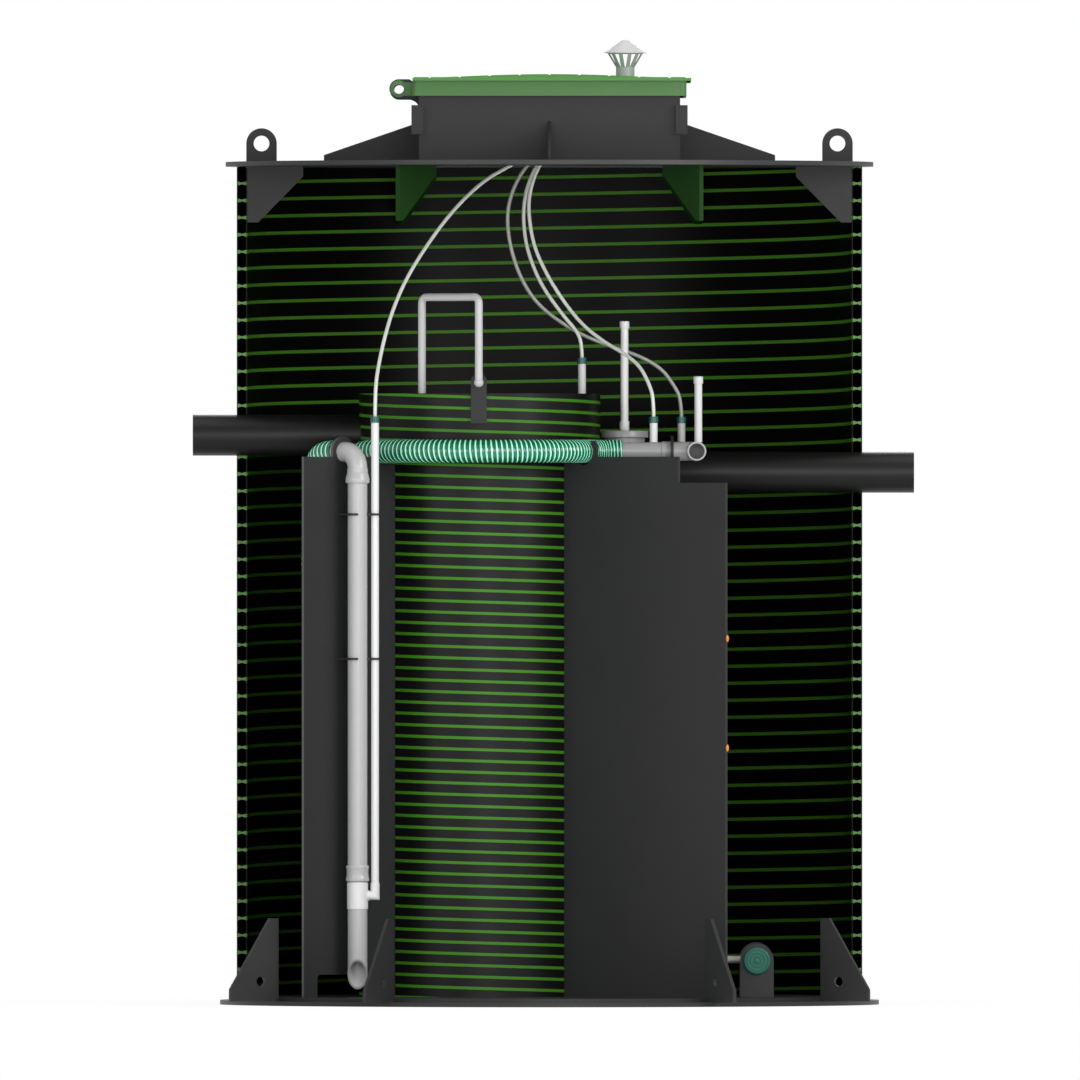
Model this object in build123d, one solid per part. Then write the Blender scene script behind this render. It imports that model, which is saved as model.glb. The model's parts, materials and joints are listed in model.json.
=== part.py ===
from build123d import *
import os
from math import cos, pi, radians, sin, sqrt, tan

# Packaged sewage treatment plant: a round spiral-wound tank on a base plate, cut open along the plane Y = 0
# so that the inside shows. Millimetres, +Z up, +X towards the outlet, the cut side faces -Y.
# The origin is the centre of the base plate's underside, on the tank's axis.

# Clearances, and how far a cutter runs past the faces that it cuts
SEAT = 0.3
PAST = 1.0
HINGE_SIDE_GAP = 2.0

# Tank shell
TANK_RADIUS = 840.0
TANK_WALL = 28.0
WALL_HEIGHT = 2228.0
WALL_SEGMENTS = 4
BASE_RADIUS = 885.0
BASE_THICKNESS = 12.0
FLOOR_THICKNESS = 10.0
TOP_RADIUS = 870.0
TOP_THICKNESS = 12.0

# Gussets that stand on the base plate outside the wall
BASE_GUSSET_LENGTH = 148.0
BASE_GUSSET_HEIGHT = 222.0
BASE_GUSSET_TOP = 27.0
BASE_GUSSET_TOE = 32.0
BASE_GUSSET_THICKNESS = 10.0
BASE_GUSSET_HOLE = 13.0
BASE_GUSSET_HOLE_REACH = 55.0
BASE_GUSSET_HOLE_HEIGHT = 53.0
BASE_GUSSET_ANGLES = (30, 60, 120, 150, 210, 240, 300, 330)

# Lifting lugs and the brackets under the top plate
LUG_INSET = 66.5
LUG_RADIUS = 41.0
LUG_HOLE = 21.0
LUG_HOLE_HEIGHT = 50.0
LUG_THICKNESS = 16.0
BRACKET_HEIGHT = 150.0
BRACKET_TIP = 27.0
BRACKET_THICKNESS = 12.0
LUG_BRACKET_LENGTH = 150.0
LUG_BRACKET_FOOT = 29.0
WALL_BRACKET_LENGTH = 194.0
WALL_BRACKET_FOOT = 18.0
WALL_BRACKET_ANGLES = (60, 120, 240, 300)

# Square hatch neck on the top plate
NECK_WIDTH = 700.0
NECK_WALL = 8.0
NECK_HEIGHT = 204.0
NECK_GUSSET_LENGTH = 256.0
NECK_GUSSET_HEIGHT = 107.0
NECK_GUSSET_TOE = 19.0
NECK_GUSSET_THICKNESS = 8.0
NECK_GUSSET_RELIEF = (19.0, 5.0)
CLEAT_LEG = 32.0
CLEAT_PROUD = 20.0
CLEAT_BOTTOM = 72.0
CLEAT_HEIGHT = 78.0

# Lid and its hinge
SKIRT_WIDTH = 734.0
SKIRT_THICKNESS = 7.0
SKIRT_DROP = 37.0
LID_WIDTH = 759.0
LID_THICKNESS = 11.0
LID_GAP = 8.0
CROWN_RADIUS = 366.0
CROWN_RISE = 12.0
HINGE_REACH = 404.0
HINGE_DROP = 9.0
HINGE_BORE = 13.5
HINGE_TUBE_RADIUS = 15.5
NECK_EAR_RADIUS = 25.4
LID_EAR_RADIUS = 22.8
EAR_THICKNESS = 10.0
EAR_SPREAD = 250.0
EAR_SLOT_GAP = 6.0
EAR_NECK = 28.0
EAR_FOOT_DROP = 23.0
EAR_FILLET = 30.0
EAR_WEB_RISE = 4.0
HINGE_TUBE_PROUD = 4.0

# Vent on the lid
VENT_X = 203.5
VENT_RADIUS = 25.0
VENT_BORE = 21.0
VENT_STAND = 32.0
CAGE_HEIGHT = 38.0
CAGE_TOP_RADIUS = 48.5
CAGE_WALL = 3.0
CAGE_SLOTS = 12
CAGE_SLOT_FOOT = 2.5
CAGE_SLOT_HEAD = 14.0
CAGE_RING = 2.5
CAGE_FOOT = 1.0
VENT_CAP_RADIUS = 56.5
VENT_CAP_TIP = 8.0
VENT_CAP_RIM = 2.0
VENT_CAP_HEIGHT = 33.0

# Inner cylinder
CYLINDER_X = -187.5
CYLINDER_RADIUS = 324.0
CYLINDER_WALL = 19.0
CYLINDER_HEIGHT = 1618.0
CYLINDER_SEGMENTS = 4

# Partitions
PARTITION_THICKNESS = 8.0
PARTITION_HEIGHT = 1448.0
DOORWAY = (428.0, 618.0)
DOORWAY_HEIGHT = 61.0
DOORWAY_CORNER = 11.0
NOTCH_LENGTH = 178.5
NOTCH_DEPTH = 70.0
EAR_RADIUS = 41.0
HOSE_NOTCH_RADIUS = 37.0
HOSE_EAR_RADIUS = 50.0
HOSE_EAR_RISE = 28.0
LEFT_HOSE_REACH = 362.0
RIGHT_HOSE_REACH = 397.5
REAR_PARTITION_X = 329.0

# Main pipes
DRAIN_RADIUS = 55.0
DRAIN_BORE = 50.0
INLET_Z = 1528.5
INLET_END = -958.0
OUTLET_Z = 1429.0
OUTLET_END = 979.0
TEE_X = 201.5
TEE_RADIUS = 60.0
TEE_TOP = 1509.0
TEE_BOTTOM = 1336.0
TEE_BRANCH = 95.0
TEE_SOCKET = 50.0
TEE_CAP_RADIUS = 64.0
TEE_CAP_THICKNESS = 19.0
TEE_CAP_STEM = 13.0
INLET_PROUD = 12.0

# Capped white risers
RISER_RADIUS = 10.4
RISER_CAP_RADIUS = 12.9
RISER_CAP_HEIGHT = 20.0
RISER_SOCKET_HEIGHT = 25.0
TEE_RISER_TOP = 1835.0
ELBOW_RISER_TOP = 1686.0
ELBOW_RISER_X = 399.0

# Transfer pipe over the rear partition, with its elbow
TRANSFER_Y = -222.0
TRANSFER_Z = 1485.0
TRANSFER_RADIUS = 24.0
TRANSFER_BORE = 21.0
TRANSFER_START = 194.7
TRANSFER_SOCKET_RADIUS = 26.5
TRANSFER_SOCKET_LENGTH = 24.0
TRANSFER_ELBOW_X = 395.0
TRANSFER_ELBOW_RADIUS = 25.2
TRANSFER_ELBOW_BEND = 30.0
TRANSFER_ELBOW_REACH = 50.0

# Air stubs and the hose connectors on them
STUB_RADIUS = 10.5
STUB_TOP = 1561.0
TRANSFER_STUB_X = 279.3
FEED_X = 354.5
FEED_Y = 75.0
FEED_TURN = 30.0
CYLINDER_STUB_X = 87.3
CYLINDER_STUB_TOP = 1720.0
CONNECTOR_RADIUS = 13.0
CONNECTOR_BORE = 5.2
CONNECTOR_HEIGHT = 17.0
CONNECTOR_FLOOR = 4.0

# Airlift in front of the left partition
AIRLIFT_GAP = 57.0
AIRLIFT_REACH = 519.0
AIRLIFT_Z = 1483.0
AIRLIFT_RADIUS = 26.5
AIRLIFT_BORE = 23.0
AIRLIFT_BEND = 45.0
AIRLIFT_SPIGOT = 80.0
AIRLIFT_SOCKET_RADIUS = 30.8
UPPER_SOCKET = (1400.0, 1416.0)
LOWER_SOCKET = (332.0, 376.0)
MIXER_RADIUS = 28.2
MIXER = (259.0, 329.5)
SUCTION_LOW = 43.5
SUCTION_HIGH = 124.0
AIR_PIPE_OFFSET = 47.0
AIR_PIPE_ENTRY = 295.0
AIR_PIPE_BEND = 14.0
MIXER_BRANCH = 32.2
MIXER_BRANCH_RADIUS = 14.0
ELBOW_WALL_STEP = 1.5
RETURN_RUN = 42.0
CLIP_LEVELS = (928.6, 1315.5)
CLIP_THICKNESS = 6.0
CLIP_MARGIN = 5.0
CLIP_NECK = 16.0
CLIP_FOOT = 40.0
CLIP_MOUTH = 2.0

# White bent pipe that leaves the cylinder over its rim
OVER_PIPE_RADIUS = 10.5
OVER_PIPE_BEND = 16.0
OVER_PIPE_LEG_X = -342.0
OVER_PIPE_LEG_Y = -200.0
OVER_PIPE_LEG_BOTTOM = 700.0
OVER_PIPE_TOP = 1898.0
OVER_PIPE_END_X = -189.4
OVER_PIPE_STAND = 22.0
OVER_PIPE_END_Z = 1669.0
OVER_PIPE_BALL = 12.9
TAB_WIDTH = 42.0
TAB_THICKNESS = 8.0
TAB_BOTTOM = 1559.5
TAB_TOP = 1693.0

# Diffuser on the floor of the right chamber
DIFFUSER_X = 556.0
DIFFUSER_Z = 119.0
DIFFUSER_RADIUS = 32.0
DIFFUSER_CAP_RADIUS = 35.7
DIFFUSER_CAP_THICKNESS = 12.0
DIFFUSER_SPREAD = 300.0
DIFFUSER_WIDTH = 90.0
DIFFUSER_PLATE_THICKNESS = 8.0

# Air manifold inside the neck
MANIFOLD_X = 120.0
MANIFOLD_Z = 2330.0
MANIFOLD_SIZE = (40.0, 190.0, 40.0)
MANIFOLD_ARM = (60.0, 8.0)
BARB_RADIUS = 8.0
BARB_BORE = 5.2
BARB_LENGTH = 16.0
BARB_HOLE_DEPTH = 4.0
BARB_SPREAD = 40.0

# Hoses
AIR_HOSE_RADIUS = 5.0
HOSE_BEND_SHARE = 0.45
SPIRAL_HOSE_RADIUS = 31.0

# Levels and places that follow from the sizes above
BASE_TOP = BASE_THICKNESS
FLOOR_TOP = BASE_TOP + FLOOR_THICKNESS
WALL_TOP = FLOOR_TOP + WALL_HEIGHT
TOP_LEVEL = WALL_TOP + TOP_THICKNESS
NECK_TOP = TOP_LEVEL + NECK_HEIGHT
LID_BOTTOM = NECK_TOP + LID_GAP
LID_TOP = LID_BOTTOM + LID_THICKNESS
TANK_INSIDE = TANK_RADIUS - TANK_WALL
LUG_REACH = TANK_RADIUS - LUG_INSET
CYLINDER_INSIDE = CYLINDER_RADIUS - CYLINDER_WALL
CYLINDER_TOP = FLOOR_TOP + CYLINDER_HEIGHT
PARTITION_TOP = FLOOR_TOP + PARTITION_HEIGHT
HINGE_Z = NECK_TOP - HINGE_DROP
DRAIN_HOLE = DRAIN_RADIUS + SEAT
LEFT_ANGLE = 225.0
RIGHT_ANGLE = 315.0

STANDING = (Align.CENTER, Align.CENTER, Align.MIN)


def save(name, *pieces):
    """Write the solids of one node."""
    solids = [solid for piece in pieces for solid in piece.solids()]
    shape = solids[0] if len(solids) == 1 else Compound(solids)
    export_step(shape, f"parts/{name}.step")


def post(x, y, bottom, top, radius):
    """An upright round bar."""
    return Pos(x, y, bottom) * Cylinder(radius, top - bottom, align=STANDING)


def rod(start, end, radius):
    """A round bar between two points."""
    along = Vector(*end) - Vector(*start)
    return Plane(origin=start, z_dir=along) * Cylinder(radius, along.length, align=STANDING)


def block(x_range, y_range, z_range):
    """A box between pairs of limits."""
    size = [high - low for low, high in (x_range, y_range, z_range)]
    middle = [(high + low) / 2 for low, high in (x_range, y_range, z_range)]
    return Pos(*middle) * Box(*size)


def plate(outline, thickness, angle=0.0):
    """An upright plate in the plane of the tank's axis, from (reach, height) points, turned by angle."""
    face = make_face(Polyline(*outline, close=True))
    return Rot(0, 0, angle) * extrude(Plane.XZ * face, thickness / 2, both=True)


def cross_bar(reach, height, radius, thickness, angle=0.0):
    """A round bar square to such a plate, to cut a hole in it or to round its end."""
    half = thickness / 2
    return Rot(0, 0, angle) * rod((reach, -half, height), (reach, half, height), radius)


def arc_wall(outer, inner, bottom, top, start, size, centre_x=0.0):
    """A piece of a round wall between two angles."""
    outside = CenterArc((0, 0), outer, start, size)
    inside = CenterArc((0, 0), inner, start, size)
    face = make_face([outside, inside, Line(outside @ 0, inside @ 0), Line(outside @ 1, inside @ 1)])
    return Pos(centre_x, 0, bottom) * extrude(face, top - bottom)


def bent_bar(points, radius, bend):
    """A round bar along straight runs with rounded corners."""
    path = FilletPolyline(*points, radius=bend)
    return sweep(Plane(origin=path @ 0, z_dir=path % 0) * Circle(radius), path=path)


def hose_tube(name, points, radius):
    """A hose along straight runs joined by the largest tangent arcs that the runs allow."""
    corners = [Vector(*point) for point in points]
    runs = [after - before for before, after in zip(corners, corners[1:])]
    bends = []
    for before, after in zip(runs, runs[1:]):
        turn = radians(before.get_angle(after))
        bends.append(HOSE_BEND_SHARE * min(before.length, after.length) / tan(turn / 2))
    path = FilletPolyline(*points, radius=bends)
    tube = sweep(Plane(origin=path @ 0, z_dir=path % 0) * Circle(radius), path=path)
    expected = path.length * pi * radius**2
    print(f"{name}: length {path.length:.0f}, tightest bend {min(bends):.0f} at {bends.index(min(bends))},")
    print(f"  volume ratio {tube.volume / expected:.4f}, runs {[round(run.length) for run in runs]}")
    return tube


def partition_frame(angle):
    """The place of a radial partition: its reach runs from the cylinder's axis."""
    return Pos(CYLINDER_X, 0, 0) * Rot(0, 0, angle)


def partition_reach(angle):
    """The reach from the cylinder's axis to the tank's inside, in the direction of angle."""
    along = CYLINDER_X * cos(radians(angle))
    return -along + sqrt(along**2 - CYLINDER_X**2 + TANK_INSIDE**2)


def partition_point(angle, reach, aside=0.0):
    """The (x, y) point at a reach along a partition, and a distance to its left."""
    x = CYLINDER_X + reach * cos(radians(angle)) - aside * sin(radians(angle))
    return x, reach * sin(radians(angle)) + aside * cos(radians(angle))


def connector(x, y, bottom):
    """The sleeve that holds an air hose on the top of a stub."""
    sleeve = post(x, y, bottom, bottom + CONNECTOR_HEIGHT, CONNECTOR_RADIUS)
    return sleeve - post(x, y, bottom + CONNECTOR_FLOOR, bottom + CONNECTOR_HEIGHT, CONNECTOR_BORE)


def capped_riser(x, y, bottom, top):
    """A thin upright pipe with a cap on its head."""
    return post(x, y, bottom, top, RISER_RADIUS) + post(x, y, top - RISER_CAP_HEIGHT, top, RISER_CAP_RADIUS)


# Places of the airlift, which stands off the left partition
AIRLIFT_X, AIRLIFT_Y = partition_point(LEFT_ANGLE, AIRLIFT_REACH, AIRLIFT_GAP)
AIR_PIPE_X = AIRLIFT_X + AIR_PIPE_OFFSET
AIRLIFT_END = partition_point(LEFT_ANGLE, AIRLIFT_REACH, AIRLIFT_GAP - AIRLIFT_SPIGOT)
RETURN_TURN = partition_point(LEFT_ANGLE, AIRLIFT_REACH, AIRLIFT_GAP - AIRLIFT_SPIGOT - RETURN_RUN)
OVER_PIPE_END_Y = -CYLINDER_RADIUS - OVER_PIPE_STAND
BARB_X = MANIFOLD_X - MANIFOLD_SIZE[0] / 2
HOSE_START_X = BARB_X - BARB_LENGTH

# Hose routes, from end to end
AIRLIFT_HOSE = [
    (HOSE_START_X, -1.5 * BARB_SPREAD, MANIFOLD_Z),
    (54, -62, 2329),
    (2, -74, 2318),
    (-52, -92, 2288),
    (-105, -112, 2251),
    (-160, -134, 2222),
    (-214, -160, 2178),
    (-275, -195, 2112),
    (-334, -236, 2030),
    (-384, -276, 1948),
    (-419, -317, 1868),
    (-442, -352, 1790),
    (-458, -382, 1716),
    (AIR_PIPE_X, AIRLIFT_Y, 1650),
    (AIR_PIPE_X, AIRLIFT_Y, STUB_TOP + CONNECTOR_FLOOR),
]
FEED_HOSE = [
    (HOSE_START_X, -0.5 * BARB_SPREAD, MANIFOLD_Z),
    (48, -21, 2326),
    (-8, -22, 2302),
    (-64, -25, 2251),
    (-98, -24, 2192),
    (-113, -22, 2133),
    (-112, -18, 2074),
    (-98, -12, 2006),
    (-71, -4, 1937),
    (-28, 6, 1875),
    (52, 22, 1816),
    (130, 38, 1779),
    (213, 52, 1752),
    (265, 62, 1730),
    (305, 69, 1703),
    (332, 74, 1666),
    (FEED_X, FEED_Y, 1626),
    (FEED_X, FEED_Y, STUB_TOP + CONNECTOR_FLOOR),
]
CYLINDER_HOSE = [
    (HOSE_START_X, 1.5 * BARB_SPREAD, MANIFOLD_Z),
    (54, 60, 2327),
    (4, 60, 2304),
    (-37, 58, 2251),
    (-59, 55, 2200),
    (-69, 53, 2149),
    (-70, 50, 2090),
    (-58, 45, 2018),
    (-23, 35, 1932),
    (37, 19, 1849),
    (74, 7, 1808),
    (CYLINDER_STUB_X, 0, 1772),
    (CYLINDER_STUB_X, 0, CYLINDER_STUB_TOP + CONNECTOR_FLOOR),
]
TRANSFER_HOSE = [
    (HOSE_START_X, 0.5 * BARB_SPREAD, MANIFOLD_Z),
    (54, 20, 2328),
    (10, 19, 2302),
    (-31, 18, 2251),
    (-55, 13, 2178),
    (-56, 8, 2117),
    (-42, 0, 2035),
    (-7, -14, 1959),
    (38, -35, 1887),
    (89, -65, 1823),
    (150, -105, 1776),
    (203, -145, 1746),
    (243, -184, 1713),
    (267, -209, 1666),
    (TRANSFER_STUB_X, TRANSFER_Y, 1626),
    (TRANSFER_STUB_X, TRANSFER_Y, STUB_TOP + CONNECTOR_FLOOR),
]
SPIRAL_HOSE = [
    (-546, -104, 1100),
    (-548, -102, 1200),
    (-549, -103, 1300),
    (-546, -108, 1395),
    (-533, -130, 1462),
    (-498, -195, 1485),
    (-443, -256, 1485),
    (-378, -330, 1485),
    (-288, -392, 1485),
    (-183, -421, 1485),
    (-84, -412, 1485),
    (-5, -382, 1485),
    (52, -340, 1485),
    (87, -292, 1485),
    (110, -254, 1485),
    (133, -233, 1485),
    (163, TRANSFER_Y, TRANSFER_Z),
    (TRANSFER_START, TRANSFER_Y, TRANSFER_Z),
]
RETURN_HOSE = [
    (AIRLIFT_END[0], AIRLIFT_END[1], AIRLIFT_Z),
    (RETURN_TURN[0], RETURN_TURN[1], AIRLIFT_Z),
    (-621, -273, 1466),
    (-630, -228, 1424),
    (-633, -190, 1368),
    (-634, -163, 1303),
    (-634, -147, 1235),
    (-635, -139, 1168),
]


def tank():
    """The shell, its floor, base and top plates, and what is welded to them."""
    save("base_plate", post(0, 0, 0, BASE_TOP, BASE_RADIUS))
    save("floor_disc", post(0, 0, BASE_TOP, FLOOR_TOP, TANK_RADIUS))
    inlet_hole = rod((-TANK_RADIUS * 1.1, 0, INLET_Z), (-TANK_INSIDE * 0.8, 0, INLET_Z), DRAIN_HOLE)
    outlet_hole = rod((TANK_INSIDE * 0.8, 0, OUTLET_Z), (TANK_RADIUS * 1.1, 0, OUTLET_Z), DRAIN_HOLE)
    size = 180 / WALL_SEGMENTS
    for index in range(WALL_SEGMENTS):
        wall = arc_wall(TANK_RADIUS, TANK_INSIDE, FLOOR_TOP, WALL_TOP, index * size, size)
        save(f"tank_wall_{index + 1}", wall - inlet_hole - outlet_hole)
    top = post(0, 0, WALL_TOP, TOP_LEVEL, TOP_RADIUS)
    half = NECK_WIDTH / 2 - NECK_WALL
    save("top_plate", top - block((-half, half), (-half, half), (WALL_TOP - PAST, TOP_LEVEL + PAST)))

    start = TANK_RADIUS + SEAT
    tip = start + BASE_GUSSET_LENGTH
    crest = BASE_TOP + BASE_GUSSET_HEIGHT
    outline = [(start, BASE_TOP), (tip, BASE_TOP), (tip, BASE_TOP + BASE_GUSSET_TOE)]
    outline += [(start + BASE_GUSSET_TOP, crest), (start, crest)]
    hole = (start + BASE_GUSSET_HOLE_REACH, BASE_TOP + BASE_GUSSET_HOLE_HEIGHT, BASE_GUSSET_HOLE)
    gussets = []
    for angle in BASE_GUSSET_ANGLES:
        solid = plate(outline, BASE_GUSSET_THICKNESS, angle)
        gussets.append(solid - cross_bar(*hole, 2 * BASE_GUSSET_THICKNESS, angle))
    save("base_gussets", *gussets)


def lifting():
    """Lifting lugs on the top plate, and brackets between the plate and the wall below it."""
    height = TOP_LEVEL + LUG_HOLE_HEIGHT
    near = LUG_REACH - LUG_RADIUS
    far = LUG_REACH + LUG_RADIUS
    lug = plate([(near, TOP_LEVEL), (far, TOP_LEVEL), (far, height), (near, height)], LUG_THICKNESS)
    lug += cross_bar(LUG_REACH, height, LUG_RADIUS, LUG_THICKNESS)
    lug -= cross_bar(LUG_REACH, height, LUG_HOLE, 2 * LUG_THICKNESS)
    save("lifting_lugs", lug, Rot(0, 0, 180) * lug)
    outer = TANK_INSIDE - SEAT
    low = WALL_TOP - BRACKET_HEIGHT
    brackets = []
    for length, foot, angles in (
        (LUG_BRACKET_LENGTH, LUG_BRACKET_FOOT, (0, 180)),
        (WALL_BRACKET_LENGTH, WALL_BRACKET_FOOT, WALL_BRACKET_ANGLES),
    ):
        outline = [(outer, WALL_TOP), (outer - length, WALL_TOP), (outer - length, WALL_TOP - BRACKET_TIP)]
        outline += [(outer - foot, low), (outer, low)]
        brackets.append([plate(outline, BRACKET_THICKNESS, angle) for angle in angles])
    save("lug_brackets", *brackets[0])
    save("wall_brackets", *brackets[1])


def neck():
    """The square hatch neck, its cleats and gussets, and the hinge ears."""
    half = NECK_WIDTH / 2
    inside = half - NECK_WALL
    levels = (TOP_LEVEL, NECK_TOP)
    front = block((-half, half), (-half, -inside), levels)
    side = block((inside, half), (-inside, inside), levels)
    save("neck_front_and_back_walls", front, Rot(0, 0, 180) * front)
    save("neck_side_walls", side, Rot(0, 0, 180) * side)

    low = TOP_LEVEL + CLEAT_BOTTOM
    near = half + CLEAT_PROUD - CLEAT_LEG
    far = half + CLEAT_PROUD
    neck_space = block((-half, half), (-half, half), (low - PAST, low + CLEAT_HEIGHT + PAST))
    cleats = []
    for turn in range(4):
        corner = block((near, far), (near, far), (low, low + CLEAT_HEIGHT))
        cleats.append(Rot(0, 0, 90 * turn) * corner - neck_space)
    save("neck_corner_cleats", *cleats)

    relief_length, relief_height = NECK_GUSSET_RELIEF
    tip = half + NECK_GUSSET_LENGTH
    outline = [(half, TOP_LEVEL + relief_height), (half + relief_length, TOP_LEVEL), (tip, TOP_LEVEL)]
    outline += [(tip, TOP_LEVEL + NECK_GUSSET_TOE), (half, TOP_LEVEL + NECK_GUSSET_HEIGHT)]
    save("neck_gussets", *[plate(outline, NECK_GUSSET_THICKNESS, 90 * turn) for turn in range(4)])

    bore = HINGE_TUBE_RADIUS + SEAT
    top = HINGE_Z + NECK_EAR_RADIUS
    low = HINGE_Z - NECK_EAR_RADIUS
    elbow = -HINGE_REACH + EAR_NECK
    foot = low - EAR_FOOT_DROP
    with BuildSketch(Plane.XZ) as ear_face:
        with BuildLine():
            rise = Polyline((-half, foot), (-half, NECK_TOP), (elbow, top), (-HINGE_REACH, top))
            Polyline(rise @ 1, (-HINGE_REACH, low), (elbow, low))
            RadiusArc((elbow, low), (-half, foot), EAR_FILLET)
        make_face()
    ears = []
    for side in (-1, 1):
        ear = Pos(0, side * EAR_SPREAD, 0) * extrude(ear_face.sketch, EAR_THICKNESS / 2, both=True)
        ear += Pos(0, side * EAR_SPREAD, 0) * cross_bar(-HINGE_REACH, HINGE_Z, NECK_EAR_RADIUS, EAR_THICKNESS)
        hole = cross_bar(-HINGE_REACH, HINGE_Z, bore, 2 * EAR_THICKNESS)
        ears.append(ear - Pos(0, side * EAR_SPREAD, 0) * hole)
    save("neck_hinge_ears", *ears)

    reach = EAR_SPREAD + 1.5 * EAR_THICKNESS + HINGE_SIDE_GAP + HINGE_TUBE_PROUD
    tube = cross_bar(-HINGE_REACH, HINGE_Z, HINGE_TUBE_RADIUS, 2 * reach)
    save("hinge_tube", tube - cross_bar(-HINGE_REACH, HINGE_Z, HINGE_BORE, 2 * reach + 2))


def lid():
    """The moulded lid with its skirt and hinge ears, and the vent on it."""
    half = LID_WIDTH / 2
    skirt_outside = SKIRT_WIDTH / 2
    panel = block((-skirt_outside, half), (-half, half), (LID_BOTTOM, LID_TOP))
    ball_radius = (CROWN_RADIUS**2 + CROWN_RISE**2) / (2 * CROWN_RISE)
    ball = Pos(0, 0, LID_TOP + CROWN_RISE - ball_radius) * Sphere(ball_radius)
    crown_space = post(0, 0, LID_TOP - LID_THICKNESS / 2, LID_TOP + 2 * CROWN_RISE, CROWN_RADIUS)
    panel += ball & crown_space
    skirt_inside = skirt_outside - SKIRT_THICKNESS
    levels = (NECK_TOP + LID_GAP - SKIRT_DROP, LID_BOTTOM)
    skirt = block((-skirt_outside, skirt_outside), (-skirt_outside, skirt_outside), levels)
    skirt -= block((-skirt_inside, skirt_inside), (-skirt_inside, skirt_inside), (levels[0] - PAST, levels[1]))
    shell = panel + skirt
    slot_half = EAR_THICKNESS / 2 + EAR_SLOT_GAP
    for side in (-1, 1):
        middle = side * EAR_SPREAD
        slot = (middle - slot_half, middle + slot_half)
        shell -= block((-half - PAST, -NECK_WIDTH / 2 + 5), slot, (levels[0] - PAST, LID_TOP + CROWN_RISE))
    vent_hole = post(VENT_X, 0, LID_BOTTOM - PAST, LID_TOP + CROWN_RISE + PAST, VENT_RADIUS + SEAT)
    save("lid_panel", shell - vent_hole)

    aside = EAR_SPREAD + EAR_THICKNESS + HINGE_SIDE_GAP
    web_low = HINGE_Z - LID_EAR_RADIUS + EAR_WEB_RISE
    ears = []
    for side in (-1, 1):
        middle = side * aside
        thick = (middle - EAR_THICKNESS / 2, middle + EAR_THICKNESS / 2)
        ear = block((-HINGE_REACH, -skirt_outside), thick, (web_low, LID_BOTTOM))
        ear += Pos(0, middle, 0) * cross_bar(-HINGE_REACH, HINGE_Z, LID_EAR_RADIUS, EAR_THICKNESS)
        hole = cross_bar(-HINGE_REACH, HINGE_Z, HINGE_TUBE_RADIUS + SEAT, 2 * EAR_THICKNESS)
        ears.append(ear - Pos(0, middle, 0) * hole)
    save("lid_hinge_ears", *ears)

    pipe_top = LID_TOP + VENT_STAND
    pipe = post(VENT_X, 0, LID_BOTTOM, pipe_top, VENT_RADIUS)
    save("vent_pipe", pipe - post(VENT_X, 0, LID_BOTTOM - PAST, pipe_top + PAST, VENT_BORE))
    cage_top = pipe_top + CAGE_HEIGHT
    outside = Cone(VENT_RADIUS, CAGE_TOP_RADIUS, CAGE_HEIGHT, align=STANDING)
    inside = Cone(VENT_RADIUS - CAGE_WALL, CAGE_TOP_RADIUS - CAGE_WALL, CAGE_HEIGHT, align=STANDING)
    cage = outside - inside
    foot = CAGE_SLOT_FOOT / 2
    head = CAGE_SLOT_HEAD / 2
    slot_top = CAGE_HEIGHT - CAGE_RING
    slot_face = Polyline((-foot, CAGE_FOOT), (foot, CAGE_FOOT), (head, slot_top), (-head, slot_top), close=True)
    slot = extrude(Plane.YZ * make_face(slot_face), CAGE_TOP_RADIUS)
    for index in range(CAGE_SLOTS):
        cage -= Rot(0, 0, index * 360 / CAGE_SLOTS) * slot
    save("vent_cage", Pos(VENT_X, 0, pipe_top) * cage)
    cap = Cylinder(VENT_CAP_RADIUS, VENT_CAP_RIM, align=STANDING)
    cap += Pos(0, 0, VENT_CAP_RIM) * Cone(VENT_CAP_RADIUS, VENT_CAP_TIP, VENT_CAP_HEIGHT, align=STANDING)
    save("vent_cap", Pos(VENT_X, 0, cage_top) * cap)


def inner_cylinder():
    """The open cylinder that stands on the floor."""
    hole = rod((CYLINDER_X - CYLINDER_RADIUS * 1.2, 0, INLET_Z), (CYLINDER_X, 0, INLET_Z), DRAIN_HOLE)
    size = 360 / CYLINDER_SEGMENTS
    for index in range(CYLINDER_SEGMENTS):
        wall = arc_wall(
            CYLINDER_RADIUS, CYLINDER_INSIDE, FLOOR_TOP, CYLINDER_TOP, index * size, size, CYLINDER_X
        )
        save(f"inner_cylinder_{index + 1}", wall - hole)


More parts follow.
